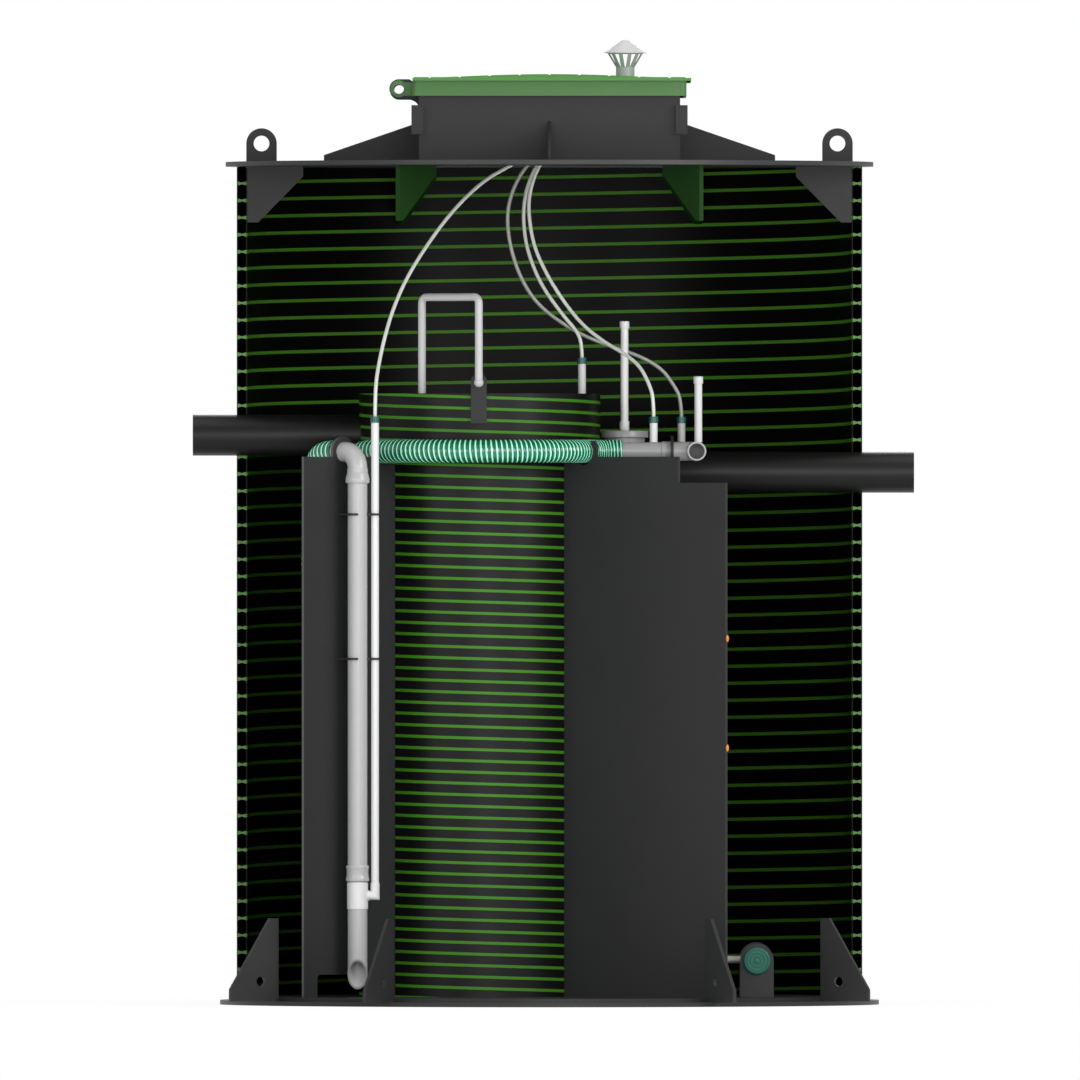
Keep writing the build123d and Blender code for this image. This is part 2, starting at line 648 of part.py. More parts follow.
def partitions():
    """Two radial sheets in front of the cylinder, and one across the chamber behind the right one."""
    start = CYLINDER_RADIUS + SEAT
    left_end = partition_reach(LEFT_ANGLE)
    door_left, door_right = DOORWAY
    door_top = FLOOR_TOP + DOORWAY_HEIGHT
    sheet = plate(
        [(start, FLOOR_TOP), (left_end, FLOOR_TOP), (left_end, PARTITION_TOP), (start, PARTITION_TOP)],
        PARTITION_THICKNESS,
    )
    cut = DOORWAY_CORNER
    outline = [(door_left, FLOOR_TOP - PAST), (door_right, FLOOR_TOP - PAST), (door_right, door_top - cut)]
    outline += [(door_right - cut, door_top), (door_left + cut, door_top), (door_left, door_top - cut)]
    sheet -= plate(outline, 2 * PARTITION_THICKNESS)
    for reach in (door_left + cut, door_right - cut):
        sheet -= cross_bar(reach, door_top - cut, cut, 2 * PARTITION_THICKNESS)
    sheet += cross_bar(AIRLIFT_REACH, AIRLIFT_Z, EAR_RADIUS, PARTITION_THICKNESS)
    sheet -= cross_bar(AIRLIFT_REACH, AIRLIFT_Z, AIRLIFT_RADIUS + SEAT, 2 * PARTITION_THICKNESS)
    sheet -= cross_bar(LEFT_HOSE_REACH, TRANSFER_Z, HOSE_NOTCH_RADIUS, 2 * PARTITION_THICKNESS)
    notch = [(0, TRANSFER_Z - HOSE_NOTCH_RADIUS), (LEFT_HOSE_REACH, TRANSFER_Z - HOSE_NOTCH_RADIUS)]
    notch += [(LEFT_HOSE_REACH, TRANSFER_Z), (0, TRANSFER_Z)]
    sheet -= plate(notch, 2 * PARTITION_THICKNESS)
    save("left_partition", partition_frame(LEFT_ANGLE) * sheet)

    right_end = partition_reach(RIGHT_ANGLE)
    notch_start = right_end - NOTCH_LENGTH
    notch_level = PARTITION_TOP - NOTCH_DEPTH
    outline = [(start, FLOOR_TOP), (right_end, FLOOR_TOP), (right_end, notch_level)]
    outline += [(notch_start, notch_level), (notch_start, PARTITION_TOP), (start, PARTITION_TOP)]
    sheet = plate(outline, PARTITION_THICKNESS)
    ear = cross_bar(RIGHT_HOSE_REACH, TRANSFER_Z, HOSE_EAR_RADIUS, PARTITION_THICKNESS)
    ear_sides = (start, RIGHT_HOSE_REACH + HOSE_EAR_RADIUS)
    ear_top = TRANSFER_Z + HOSE_EAR_RISE
    low = notch_level
    ear_space = [(ear_sides[0], low), (ear_sides[1], low), (ear_sides[1], ear_top), (ear_sides[0], ear_top)]
    sheet += ear & plate(ear_space, PARTITION_THICKNESS)
    sheet -= cross_bar(RIGHT_HOSE_REACH, TRANSFER_Z, HOSE_NOTCH_RADIUS, 2 * PARTITION_THICKNESS)
    save("right_partition", partition_frame(RIGHT_ANGLE) * sheet)

    half = PARTITION_THICKNESS / 2
    front = -(REAR_PARTITION_X - CYLINDER_X) + half * (1 + sqrt(2)) + SEAT
    back = sqrt(TANK_INSIDE**2 - (REAR_PARTITION_X + half) ** 2) - SEAT
    x_range = (REAR_PARTITION_X - half, REAR_PARTITION_X + half)
    wide = (REAR_PARTITION_X - 2 * half, REAR_PARTITION_X + 2 * half)
    sheet = block(x_range, (front, back), (FLOOR_TOP, PARTITION_TOP))
    sheet += rod((x_range[0], TRANSFER_Y, TRANSFER_Z), (x_range[1], TRANSFER_Y, TRANSFER_Z), EAR_RADIUS)
    transfer = (TRANSFER_Y, TRANSFER_Z)
    sheet -= rod((wide[0], *transfer), (wide[1], *transfer), TRANSFER_RADIUS + SEAT)
    sheet -= rod((wide[0], 0, OUTLET_Z), (wide[1], 0, OUTLET_Z), DRAIN_HOLE)
    save("rear_partition", sheet)


def drains():
    """The inlet and outlet pipes, and the outlet's tee with its cap and riser."""
    inlet_inner_end = CYLINDER_X - CYLINDER_INSIDE + INLET_PROUD
    inlet = rod((INLET_END, 0, INLET_Z), (inlet_inner_end, 0, INLET_Z), DRAIN_RADIUS)
    inlet_bore = rod((INLET_END - PAST, 0, INLET_Z), (inlet_inner_end + PAST, 0, INLET_Z), DRAIN_BORE)
    save("inlet_pipe", inlet - inlet_bore)
    socket_start = TEE_X + TEE_BRANCH - TEE_SOCKET
    outlet = rod((socket_start, 0, OUTLET_Z), (OUTLET_END, 0, OUTLET_Z), DRAIN_RADIUS)
    outlet_bore = rod((socket_start - PAST, 0, OUTLET_Z), (OUTLET_END + PAST, 0, OUTLET_Z), DRAIN_BORE)
    save("outlet_pipe", outlet - outlet_bore)

    branch_end = TEE_X + TEE_BRANCH
    tee = post(TEE_X, 0, TEE_BOTTOM, TEE_TOP, TEE_RADIUS)
    tee += rod((TEE_X, 0, OUTLET_Z), (branch_end, 0, OUTLET_Z), TEE_RADIUS)
    tee -= post(TEE_X, 0, TEE_BOTTOM - PAST, TEE_TOP + PAST, DRAIN_BORE)
    tee -= rod((TEE_X, 0, OUTLET_Z), (branch_end + PAST, 0, OUTLET_Z), DRAIN_BORE)
    tee -= rod((socket_start, 0, OUTLET_Z), (branch_end + PAST, 0, OUTLET_Z), DRAIN_RADIUS + SEAT)
    save("outlet_tee", tee)

    cap_bottom = TEE_TOP + TEE_CAP_STEM
    cap_top = cap_bottom + TEE_CAP_THICKNESS
    cap = post(TEE_X, 0, TEE_TOP, cap_bottom, DRAIN_RADIUS)
    save("outlet_tee_cap", cap + post(TEE_X, 0, cap_bottom, cap_top, TEE_CAP_RADIUS))
    socket = post(TEE_X, 0, cap_top, cap_top + RISER_SOCKET_HEIGHT, RISER_CAP_RADIUS)
    elbow_top = TRANSFER_Z + TRANSFER_ELBOW_RADIUS
    save(
        "capped_risers",
        capped_riser(TEE_X, 0, cap_top, TEE_RISER_TOP) + socket,
        capped_riser(ELBOW_RISER_X, TRANSFER_Y, elbow_top, ELBOW_RISER_TOP),
    )


def transfer():
    """The thin pipe over the rear partition and its elbow, which opens towards the front."""
    sheet_face = REAR_PARTITION_X - PARTITION_THICKNESS / 2
    centre = (TRANSFER_Y, TRANSFER_Z)
    far_face = REAR_PARTITION_X + PARTITION_THICKNESS / 2
    pipe = rod((TRANSFER_START, *centre), (far_face, *centre), TRANSFER_RADIUS)
    pipe += rod((sheet_face - TRANSFER_SOCKET_LENGTH, *centre), (sheet_face, *centre), TRANSFER_SOCKET_RADIUS)
    pipe_bore = rod((TRANSFER_START - PAST, *centre), (far_face + PAST, *centre), TRANSFER_BORE)
    save("transfer_pipe", pipe - pipe_bore)

    mouth = TRANSFER_Y - TRANSFER_ELBOW_REACH
    corner = (TRANSFER_ELBOW_X, TRANSFER_Y, TRANSFER_Z)
    route = [(far_face, *centre), corner, (TRANSFER_ELBOW_X, mouth, TRANSFER_Z)]
    elbow = bent_bar(route, TRANSFER_ELBOW_RADIUS, TRANSFER_ELBOW_BEND)
    inner_route = [(far_face - PAST, *centre), corner, (TRANSFER_ELBOW_X, mouth - PAST, TRANSFER_Z)]
    elbow -= bent_bar(inner_route, TRANSFER_BORE, TRANSFER_ELBOW_BEND)
    save("transfer_elbow", elbow)
    save("transfer_stub", post(TRANSFER_STUB_X, TRANSFER_Y, TRANSFER_Z + TRANSFER_RADIUS, STUB_TOP, STUB_RADIUS))


def air_pipes():
    """The upright air pipes and the sleeves that hold the hoses on them."""
    entry = DIFFUSER_X - DIFFUSER_RADIUS
    route = [(FEED_X, FEED_Y, STUB_TOP), (FEED_X, FEED_Y, DIFFUSER_Z), (entry, FEED_Y, DIFFUSER_Z)]
    save("diffuser_feed_pipe", bent_bar(route, STUB_RADIUS, FEED_TURN))
    save("cylinder_air_pipe", post(CYLINDER_STUB_X, 0, FLOOR_TOP, CYLINDER_STUB_TOP, STUB_RADIUS))
    save(
        "hose_connectors",
        connector(AIR_PIPE_X, AIRLIFT_Y, STUB_TOP),
        connector(FEED_X, FEED_Y, STUB_TOP),
        connector(TRANSFER_STUB_X, TRANSFER_Y, STUB_TOP),
        connector(CYLINDER_STUB_X, 0, CYLINDER_STUB_TOP),
    )


def airlift():
    """The sludge airlift in front of the left partition."""
    place = (AIRLIFT_X, AIRLIFT_Y)
    bend_start = AIRLIFT_Z - AIRLIFT_BEND
    upper = post(*place, MIXER[1], UPPER_SOCKET[0], AIRLIFT_RADIUS)
    upper -= post(*place, MIXER[1] - PAST, UPPER_SOCKET[0] + PAST, AIRLIFT_BORE)
    save("airlift_pipe", upper)

    end = (*AIRLIFT_END, AIRLIFT_Z)
    route = [(*place, UPPER_SOCKET[0]), (*place, AIRLIFT_Z), end]
    elbow = bent_bar(route, AIRLIFT_RADIUS, AIRLIFT_BEND)
    elbow += post(*place, *UPPER_SOCKET, AIRLIFT_SOCKET_RADIUS)
    elbow += post(*place, UPPER_SOCKET[1], bend_start, AIRLIFT_RADIUS + ELBOW_WALL_STEP)
    save("airlift_elbow", elbow)

    socket = post(*place, *LOWER_SOCKET, AIRLIFT_SOCKET_RADIUS)
    socket_bore = post(*place, LOWER_SOCKET[0] - PAST, LOWER_SOCKET[1] + PAST, AIRLIFT_RADIUS)
    save("airlift_socket", socket - socket_bore)

    mixer = post(*place, *MIXER, MIXER_RADIUS)
    branch = (AIRLIFT_X + MIXER_BRANCH, AIRLIFT_Y, AIR_PIPE_ENTRY)
    mixer += rod((AIRLIFT_X, AIRLIFT_Y, AIR_PIPE_ENTRY), branch, MIXER_BRANCH_RADIUS)
    save("airlift_mixer", mixer - post(*place, MIXER[0] - PAST, MIXER[1] + PAST, AIRLIFT_BORE))

    suction = post(*place, SUCTION_LOW, MIXER[0], AIRLIFT_RADIUS)
    suction -= post(*place, SUCTION_LOW - PAST, MIXER[0] + PAST, AIRLIFT_BORE)
    front = AIRLIFT_Y - AIRLIFT_RADIUS
    back = AIRLIFT_Y + AIRLIFT_RADIUS
    slope = (SUCTION_HIGH - SUCTION_LOW) / (back - front)
    wedge = Polyline(
        (front - 10, SUCTION_LOW - 20),
        (front - 10, SUCTION_HIGH + 10 * slope),
        (back + 10, SUCTION_LOW - 10 * slope),
        (back + 10, SUCTION_LOW - 20),
        close=True,
    )
    cut = extrude(Plane.YZ * make_face(wedge), AIRLIFT_RADIUS * 2, both=True)
    save("airlift_suction_pipe", suction - Pos(AIRLIFT_X, 0, 0) * cut)

    pipe_route = [
        (AIR_PIPE_X, AIRLIFT_Y, STUB_TOP),
        (AIR_PIPE_X, AIRLIFT_Y, AIR_PIPE_ENTRY),
        branch,
    ]
    save("airlift_air_pipe", bent_bar(pipe_route, STUB_RADIUS, AIR_PIPE_BEND))

    clips = []
    for level in CLIP_LEVELS:
        low = level - CLIP_THICKNESS / 2
        high = level + CLIP_THICKNESS / 2
        clip = post(*place, low, high, AIRLIFT_RADIUS + CLIP_MARGIN)
        clip += post(AIR_PIPE_X, AIRLIFT_Y, low, high, STUB_RADIUS + CLIP_MARGIN)
        neck_range = (AIRLIFT_Y - CLIP_NECK / 2, AIRLIFT_Y + CLIP_NECK / 2)
        clip += block((AIRLIFT_X, AIR_PIPE_X), neck_range, (low, high))
        stand = AIRLIFT_GAP - PARTITION_THICKNESS / 2
        foot_range = (AIRLIFT_REACH - CLIP_FOOT / 2, AIRLIFT_REACH + CLIP_FOOT / 2)
        foot = block(foot_range, (PARTITION_THICKNESS / 2, stand), (low, high))
        clip += partition_frame(LEFT_ANGLE) * foot
        clip -= post(*place, low - PAST, high + PAST, AIRLIFT_RADIUS)
        mouth_x = (AIRLIFT_X + CLIP_MOUTH, AIRLIFT_X + AIRLIFT_RADIUS + CLIP_MARGIN + PAST)
        mouth_y = (AIRLIFT_Y - AIRLIFT_RADIUS - CLIP_MARGIN - PAST, AIRLIFT_Y - CLIP_NECK / 2)
        clip -= block(mouth_x, mouth_y, (low - PAST, high + PAST))
        clips.append(clip - post(AIR_PIPE_X, AIRLIFT_Y, low - PAST, high + PAST, STUB_RADIUS))
    save("airlift_clips", *clips)


def over_pipe():
    """The white pipe that leaves the cylinder over its rim, and the tab that holds its end."""
    route = [
        (OVER_PIPE_LEG_X, OVER_PIPE_LEG_Y, OVER_PIPE_LEG_BOTTOM),
        (OVER_PIPE_LEG_X, OVER_PIPE_LEG_Y, OVER_PIPE_TOP),
        (OVER_PIPE_END_X, OVER_PIPE_END_Y, OVER_PIPE_TOP),
        (OVER_PIPE_END_X, OVER_PIPE_END_Y, OVER_PIPE_END_Z),
    ]
    front = -CYLINDER_RADIUS - SEAT
    end = (OVER_PIPE_END_X, OVER_PIPE_END_Y, OVER_PIPE_END_Z)
    pipe = bent_bar(route, OVER_PIPE_RADIUS, OVER_PIPE_BEND) + Pos(*end) * Sphere(OVER_PIPE_BALL)
    save("over_pipe", pipe + rod(end, (OVER_PIPE_END_X, front, OVER_PIPE_END_Z), OVER_PIPE_RADIUS))
    half = TAB_WIDTH / 2
    crown = TAB_TOP - half
    thick = (front - TAB_THICKNESS, front)
    x_range = (OVER_PIPE_END_X - half, OVER_PIPE_END_X + half)
    tab = block(x_range, thick, (TAB_BOTTOM, crown))
    tab += rod((OVER_PIPE_END_X, thick[0], crown), (OVER_PIPE_END_X, thick[1], crown), half)
    hole = [(OVER_PIPE_END_X, level, OVER_PIPE_END_Z) for level in (thick[0] - PAST, thick[1] + PAST)]
    save("over_pipe_tab", tab - rod(*hole, OVER_PIPE_RADIUS))


def diffuser():
    """The air diffuser: a tube along Y on two upright plates."""
    plates = []
    for side in (-1, 1):
        middle = side * DIFFUSER_SPREAD
        thick = (middle - DIFFUSER_PLATE_THICKNESS / 2, middle + DIFFUSER_PLATE_THICKNESS / 2)
        half = DIFFUSER_WIDTH / 2
        upright = block((DIFFUSER_X - half, DIFFUSER_X + half), thick, (FLOOR_TOP, DIFFUSER_Z))
        upright += rod((DIFFUSER_X, thick[0], DIFFUSER_Z), (DIFFUSER_X, thick[1], DIFFUSER_Z), half)
        hole = ((DIFFUSER_X, thick[0] - PAST, DIFFUSER_Z), (DIFFUSER_X, thick[1] + PAST, DIFFUSER_Z))
        plates.append(upright - rod(*hole, DIFFUSER_RADIUS))
    save("diffuser_plates", *plates)
    end = DIFFUSER_SPREAD + DIFFUSER_PLATE_THICKNESS / 2
    tube = rod((DIFFUSER_X, -end, DIFFUSER_Z), (DIFFUSER_X, end, DIFFUSER_Z), DIFFUSER_RADIUS)
    for side in (-1, 1):
        cap_end = side * (end + DIFFUSER_CAP_THICKNESS)
        tube += rod((DIFFUSER_X, side * end, DIFFUSER_Z), (DIFFUSER_X, cap_end, DIFFUSER_Z), DIFFUSER_CAP_RADIUS)
    save("diffuser_tube", tube)


def manifold():
    """The air manifold on an arm from the neck's right wall, with one barb for each hose."""
    length, width, height = MANIFOLD_SIZE
    box = Pos(MANIFOLD_X, 0, MANIFOLD_Z) * Box(length, width, height)
    for index in range(4):
        side = (index - 1.5) * BARB_SPREAD
        box += rod((BARB_X, side, MANIFOLD_Z), (HOSE_START_X, side, MANIFOLD_Z), BARB_RADIUS)
        inside = HOSE_START_X + BARB_HOLE_DEPTH
        box -= rod((HOSE_START_X - PAST, side, MANIFOLD_Z), (inside, side, MANIFOLD_Z), BARB_BORE)
    arm_width, arm_thickness = MANIFOLD_ARM
    x_range = (MANIFOLD_X, NECK_WIDTH / 2 - NECK_WALL)
    levels = (MANIFOLD_Z - arm_thickness / 2, MANIFOLD_Z + arm_thickness / 2)
    save("air_manifold", box + block(x_range, (-arm_width / 2, arm_width / 2), levels))


def hoses():
    """The thin air hoses and the two pieces of spiral hose."""
    for name, route, radius in (
        ("airlift_air_hose", AIRLIFT_HOSE, AIR_HOSE_RADIUS),
        ("diffuser_air_hose", FEED_HOSE, AIR_HOSE_RADIUS),
        ("cylinder_air_hose", CYLINDER_HOSE, AIR_HOSE_RADIUS),
        ("transfer_air_hose", TRANSFER_HOSE, AIR_HOSE_RADIUS),
        ("spiral_hose", SPIRAL_HOSE, SPIRAL_HOSE_RADIUS),
        ("return_hose", RETURN_HOSE, SPIRAL_HOSE_RADIUS),
    ):
        save(name, hose_tube(name, route, radius))


os.makedirs("parts", exist_ok=True)
tank()
lifting()
neck()
lid()
inner_cylinder()
partitions()
drains()
transfer()
air_pipes()
airlift()
over_pipe()
diffuser()
manifold()
hoses()
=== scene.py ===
"""Dresses the packed model of a packaged sewage treatment plant and stages it like the photograph.

Metres, +Z up, +X towards the outlet, the cut side faces -Y. Every new piece is a surface worked out with
numpy on a grid, with its place in its mesh.
"""

import json
import logging
from dataclasses import dataclass
from math import pi, radians, tan
from typing import Any, Optional, Sequence

import bmesh
import bpy
import numpy as np
from bpy.types import ID, Material, Node, NodeSocket, NodeTree, Object
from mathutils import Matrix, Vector

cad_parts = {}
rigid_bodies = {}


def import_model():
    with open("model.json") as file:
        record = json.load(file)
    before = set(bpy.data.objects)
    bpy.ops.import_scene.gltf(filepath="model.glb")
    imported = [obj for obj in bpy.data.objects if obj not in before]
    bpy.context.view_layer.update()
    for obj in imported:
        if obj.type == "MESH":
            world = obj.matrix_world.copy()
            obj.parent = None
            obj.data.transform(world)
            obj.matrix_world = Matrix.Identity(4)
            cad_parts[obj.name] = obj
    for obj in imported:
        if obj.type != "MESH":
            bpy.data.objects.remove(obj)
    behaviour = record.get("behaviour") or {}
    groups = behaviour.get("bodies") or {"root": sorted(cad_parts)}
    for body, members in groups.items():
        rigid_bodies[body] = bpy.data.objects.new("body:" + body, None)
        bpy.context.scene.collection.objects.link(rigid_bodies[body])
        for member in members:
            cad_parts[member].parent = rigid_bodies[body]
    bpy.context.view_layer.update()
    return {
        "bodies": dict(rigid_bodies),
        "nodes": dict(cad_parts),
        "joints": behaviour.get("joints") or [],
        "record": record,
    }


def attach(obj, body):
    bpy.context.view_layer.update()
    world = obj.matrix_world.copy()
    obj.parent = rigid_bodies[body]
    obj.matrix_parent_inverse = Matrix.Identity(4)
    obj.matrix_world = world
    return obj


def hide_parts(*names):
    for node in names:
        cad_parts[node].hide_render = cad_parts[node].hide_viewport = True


LOG = logging.getLogger("plant")
PLANT = "plant"
LID = "lid"
MM_IN_M = 1000
CYLINDER_X = -0.1875
Pair = tuple[float, float]
Point = tuple[float, float, float]
Outline = tuple[Pair, ...]
Route = tuple[Point, ...]


def to_linear(hex_colour: str) -> tuple[float, float, float, float]:
    """Turn an sRGB hex value into a linear colour.

    Args:
        hex_colour: six hex digits, with or without a leading hash.

    Returns:
        Linear red, green and blue, and an alpha of 1.
    """
    digits = hex_colour.lstrip("#")
    values = np.array([int(digits[start:start + 2], 16) for start in (0, 2, 4)]) / 255
    linear = np.where(values <= 0.04045, values / 12.92, ((values + 0.055) / 1.055) ** 2.4)
    return float(linear[0]), float(linear[1]), float(linear[2]), 1.0


def add_node(tree: NodeTree, kind: str, inputs: Optional[dict[Any, Any]] = None, **settings: Any) -> Node:
    """Add a node with its settings, its values and its links.

    Args:
        tree: the node tree that takes the node.
        kind: Blender's name for the node.
        inputs: by socket name or number, a value, a socket to link from, or a node, whose first output is
            linked.
        settings: attributes of the node itself.

    Returns:
        The new node.
    """
    node = tree.nodes.new(kind)
    for name, value in settings.items():
        setattr(node, name, value)
    for key, value in (inputs or {}).items():
        source = value.outputs[0] if isinstance(value, Node) else value
        if isinstance(source, NodeSocket):
            tree.links.new(source, node.inputs[key])
        else:
            node.inputs[key].default_value = source
    return node


def empty_tree(owner: ID) -> NodeTree:
    """Give the node tree of a material or a world, with nothing in it."""
    owner.use_nodes = True
    owner.node_tree.nodes.clear()
    return owner.node_tree


def stripe(tree: NodeTree, phase: Node, half: float, soft: float) -> Node:
    """Draw a soft-edged stripe half way between the whole numbers of a phase.

    Args:
        tree: the node tree.
        phase: the node that counts the stripes.
        half: half the stripe's width, over the stripes' spacing.
        soft: how far its edge fades to each side, over the spacing.

    Returns:
        The node that gives 1 on a stripe and 0 between stripes.
    """
    part = add_node(tree, "ShaderNodeMath", {0: phase}, operation="FRACT")
    middle = add_node(tree, "ShaderNodeMath", {0: part, 1: 0.5}, operation="SUBTRACT")
    distance = add_node(tree, "ShaderNodeMath", {0: middle}, operation="ABSOLUTE")
    return add_node(tree, "ShaderNodeMapRange", {
        "Value": distance, "From Min": half - soft, "From Max": half + soft, "To Min": 1.0, "To Max": 0.0},
        interpolation_type="SMOOTHSTEP")


def build_mesh(
    name: str,
    points: np.ndarray,
    faces: Sequence[np.ndarray],
    uv: Optional[np.ndarray] = None,
    smooth: bool = True,
) -> Object:
    """Make a mesh object from whole arrays.

    Args:
        name: the object's name.
        points: vertex places, n by 3.
        faces: one array of vertex numbers for each size of face.
        uv: a UV pair for each vertex.
        smooth: whether the faces are shaded smooth.

    Returns:
        The object, linked to the scene.
    """
    mesh = bpy.data.meshes.new(name)
    corners = np.concatenate([block.ravel() for block in faces]).astype(np.int32)
    sizes = np.concatenate([np.full(len(block), block.shape[1]) for block in faces]).astype(np.int32)
    mesh.vertices.add(len(points))
    mesh.vertices.foreach_set("co", np.ascontiguousarray(points, dtype=np.float32).ravel())
    mesh.loops.add(len(corners))
    mesh.loops.foreach_set("vertex_index", corners)
    mesh.polygons.add(len(sizes))
    mesh.polygons.foreach_set("loop_start", np.concatenate([[0], np.cumsum(sizes)[:-1]]).astype(np.int32))
    mesh.update(calc_edges=True)
    mesh.polygons.foreach_set("use_smooth", np.full(len(sizes), smooth))
    if uv is not None:
        layer = mesh.uv_layers.new(name="UVMap")
        layer.data.foreach_set("uv", np.ascontiguousarray(uv[corners], dtype=np.float32).ravel())
    mesh.validate()
    mesh.update()
    piece = bpy.data.objects.new(name, mesh)
    bpy.context.scene.collection.objects.link(piece)
    return piece


def grid_faces(rows: int, columns: int, close_rows: bool = False, close_columns: bool = False) -> np.ndarray:
    """Number the quads of a grid of points, row by row.

    Args:
        rows: points along the first parameter.
        columns: points along the second parameter.
        close_rows: whether the last row joins the first.
        close_columns: whether the last column joins the first.

    Returns:
        Vertex numbers, four to a quad; the normal is first parameter cross second parameter.
    """
    row = np.arange(rows if close_rows else rows - 1)
    column = np.arange(columns if close_columns else columns - 1)
    i, j = np.meshgrid(row, column, indexing="ij")
    after_i = (i + 1) % rows
    after_j = (j + 1) % columns
    quads = np.stack([
        i * columns + j, after_i * columns + j, after_i * columns + after_j, i * columns + after_j], -1)
    return quads.reshape(-1, 4)


def loop_sweep(
    name: str, rings: np.ndarray, capped: bool = True, smooth: bool = True, closed: bool = False
) -> Object:
    """Skin a row of closed rings, or several such rows in one mesh.

    Args:
        name: the object's name.
        rings: ring, point of the ring, and x y z; with the row in front of these where there are several.
        capped: whether the first and last ring are closed with a face.
        smooth: whether the faces are shaded smooth.
        closed: whether the last ring joins the first.

    Returns:
        The object, whose normals are made to point outwards.
    """
    count, around = rings.shape[-3:-1]
    faces = [grid_faces(count, around, close_rows=closed, close_columns=True)]
    if capped and not closed:
        outline = np.arange(around)
        faces.append(np.stack([outline[::-1], outline + (count - 1) * around]))
    rows = rings.size // (3 * count * around)
    shift = (np.arange(rows) * count * around)[:, None, None]
    faces = [(block[None] + shift).reshape(-1, block.shape[1]) for block in faces]
    piece = build_mesh(name, rings.reshape(-1, 3), faces, smooth=smooth)
    mend_normals(piece)
    return piece


def mend_normals(piece: Object) -> None:
    """Turn the faces of a closed mesh outwards."""
    work = bmesh.new()
    work.from_mesh(piece.data)
    bmesh.ops.recalc_face_normals(work, faces=work.faces)
    work.to_mesh(piece.data)
    work.free()
    piece.data.update()


def sharpen(piece: Object, degrees: float = 35.0) -> None:
    """Shade a piece smooth, with edges sharper than an angle kept hard."""
    piece.data.set_sharp_from_angle(angle=radians(degrees))


def cut_out(pieces: Sequence[Object], rings: np.ndarray, smooth: bool = True) -> None:
    """Cut a closed shape out of pieces, and bake the cut into their meshes.

    Args:
        pieces: the objects to cut.
        rings: the rings that the shape is skinned over.
        smooth: whether the cut's own faces are shaded smooth.
    """
    cutter = loop_sweep("cutter", rings, smooth=smooth)
    for piece in pieces:
        cut = piece.modifiers.new("cut", "BOOLEAN")
        cut.operation = "DIFFERENCE"
        cut.solver = "EXACT"
        cut.object = cutter
        graph = bpy.context.evaluated_depsgraph_get()
        baked = bpy.data.meshes.new_from_object(piece.evaluated_get(graph))
        whole = piece.data
        piece.modifiers.clear()
        piece.data = baked
        bpy.data.meshes.remove(whole)
    data = cutter.data
    bpy.data.objects.remove(cutter)
    bpy.data.meshes.remove(data)


def dress(piece: Object, material: Material) -> None:
    """Give a piece or a CAD node one material in every slot."""
    if not piece.data.materials:
        piece.data.materials.append(material)
    for index in range(len(piece.material_slots)):
        piece.material_slots[index].material = material


def declare(piece: Object, body: str, slot: str, *nodes: str) -> None:
    """Let a new piece ride on a body, and stand for CAD nodes where it does.

    Args:
        piece: the new object.
        body: the body that it moves with.
        slot: its finish slot; not used.
        nodes: the CAD nodes that it stands for.
    """
    if nodes:
        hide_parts(*nodes)
    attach(piece, body)
    LOG.info("piece %s", piece.name)


def circle(count: int) -> np.ndarray:
    """The cosines and the sines of evenly spaced angles round a turn."""
    angle = np.linspace(0, 2 * pi, count, endpoint=False)
    return np.array([np.cos(angle), np.sin(angle)])


def at_level(outline: np.ndarray, level: float) -> np.ndarray:
    """Lift an outline of X and Y to a level."""
    return np.column_stack([outline, np.full(len(outline), level)])


@dataclass(frozen=True)
class Finish:
    """A material made of one shader, which each kind of finish draws in its own way."""

    name: str

    def make(self) -> Material:
        """Build the material."""
        material = bpy.data.materials.new(self.name)
        tree = empty_tree(material)
        add_node(tree, "ShaderNodeOutputMaterial", {"Surface": self.shader(tree)})
        return material

    def shader(self, tree: NodeTree) -> Node:
        """Build the finish's nodes, and give the last of them."""
        raise NotImplementedError


@dataclass(frozen=True)
class MouldedPlastic(Finish):
    """Moulded or extruded thermoplastic, such as PVC, PP or PE: a soft sheen, faint mottling of the colour,
    and a very fine orange peel that breaks up the highlights."""

    colour: str
    shade: str
    roughness: float = 0.4
    ior: float = 1.5
    mottle_mm: float = 60.0
    peel_mm: float = 3.0
    peel_depth: float = 0.05
    specular: float = 0.5

    def shader(self, tree: NodeTree) -> Node:
        """Build the plastic's nodes."""
        place = add_node(tree, "ShaderNodeTexCoord")
        peel = add_node(tree, "ShaderNodeTexNoise", {
            "Vector": place.outputs["Object"], "Scale": MM_IN_M / self.peel_mm, "Detail": 2.0})
        bump = add_node(tree, "ShaderNodeBump", {
            "Height": peel, "Strength": self.peel_depth, "Distance": 1 / MM_IN_M})
        return add_node(tree, "ShaderNodeBsdfPrincipled", {
            "Base Color": self.tint(tree, place), "Roughness": self.roughness, "IOR": self.ior,
            "Specular IOR Level": self.specular, "Normal": bump})

    def tint(self, tree: NodeTree, place: Node) -> NodeSocket:
        """Mottle the colour, and give the socket it comes from."""
        mottle = add_node(tree, "ShaderNodeTexNoise", {
            "Vector": place.outputs["Object"], "Scale": MM_IN_M / self.mottle_mm, "Detail": 3.0})
        mixed = add_node(tree, "ShaderNodeMix", {
            0: mottle, 6: to_linear(self.shade), 7: to_linear(self.colour)}, data_type="RGBA")
        return mixed.outputs[2]


@dataclass(frozen=True)
class RigidPipe(MouldedPlastic):
    """Extruded rigid PVC: a drawn surface with hardly any orange peel, and so a cleaner highlight."""

    roughness: float = 0.3
    peel_depth: float = 0.02


@dataclass(frozen=True)
class BlackSheet(MouldedPlastic):
    """Black polyethylene sheet: duller than moulded plastic, and mottled in broad patches."""

    roughness: float = 0.42
    mottle_mm: float = 120.0
    specular: float = 0.25


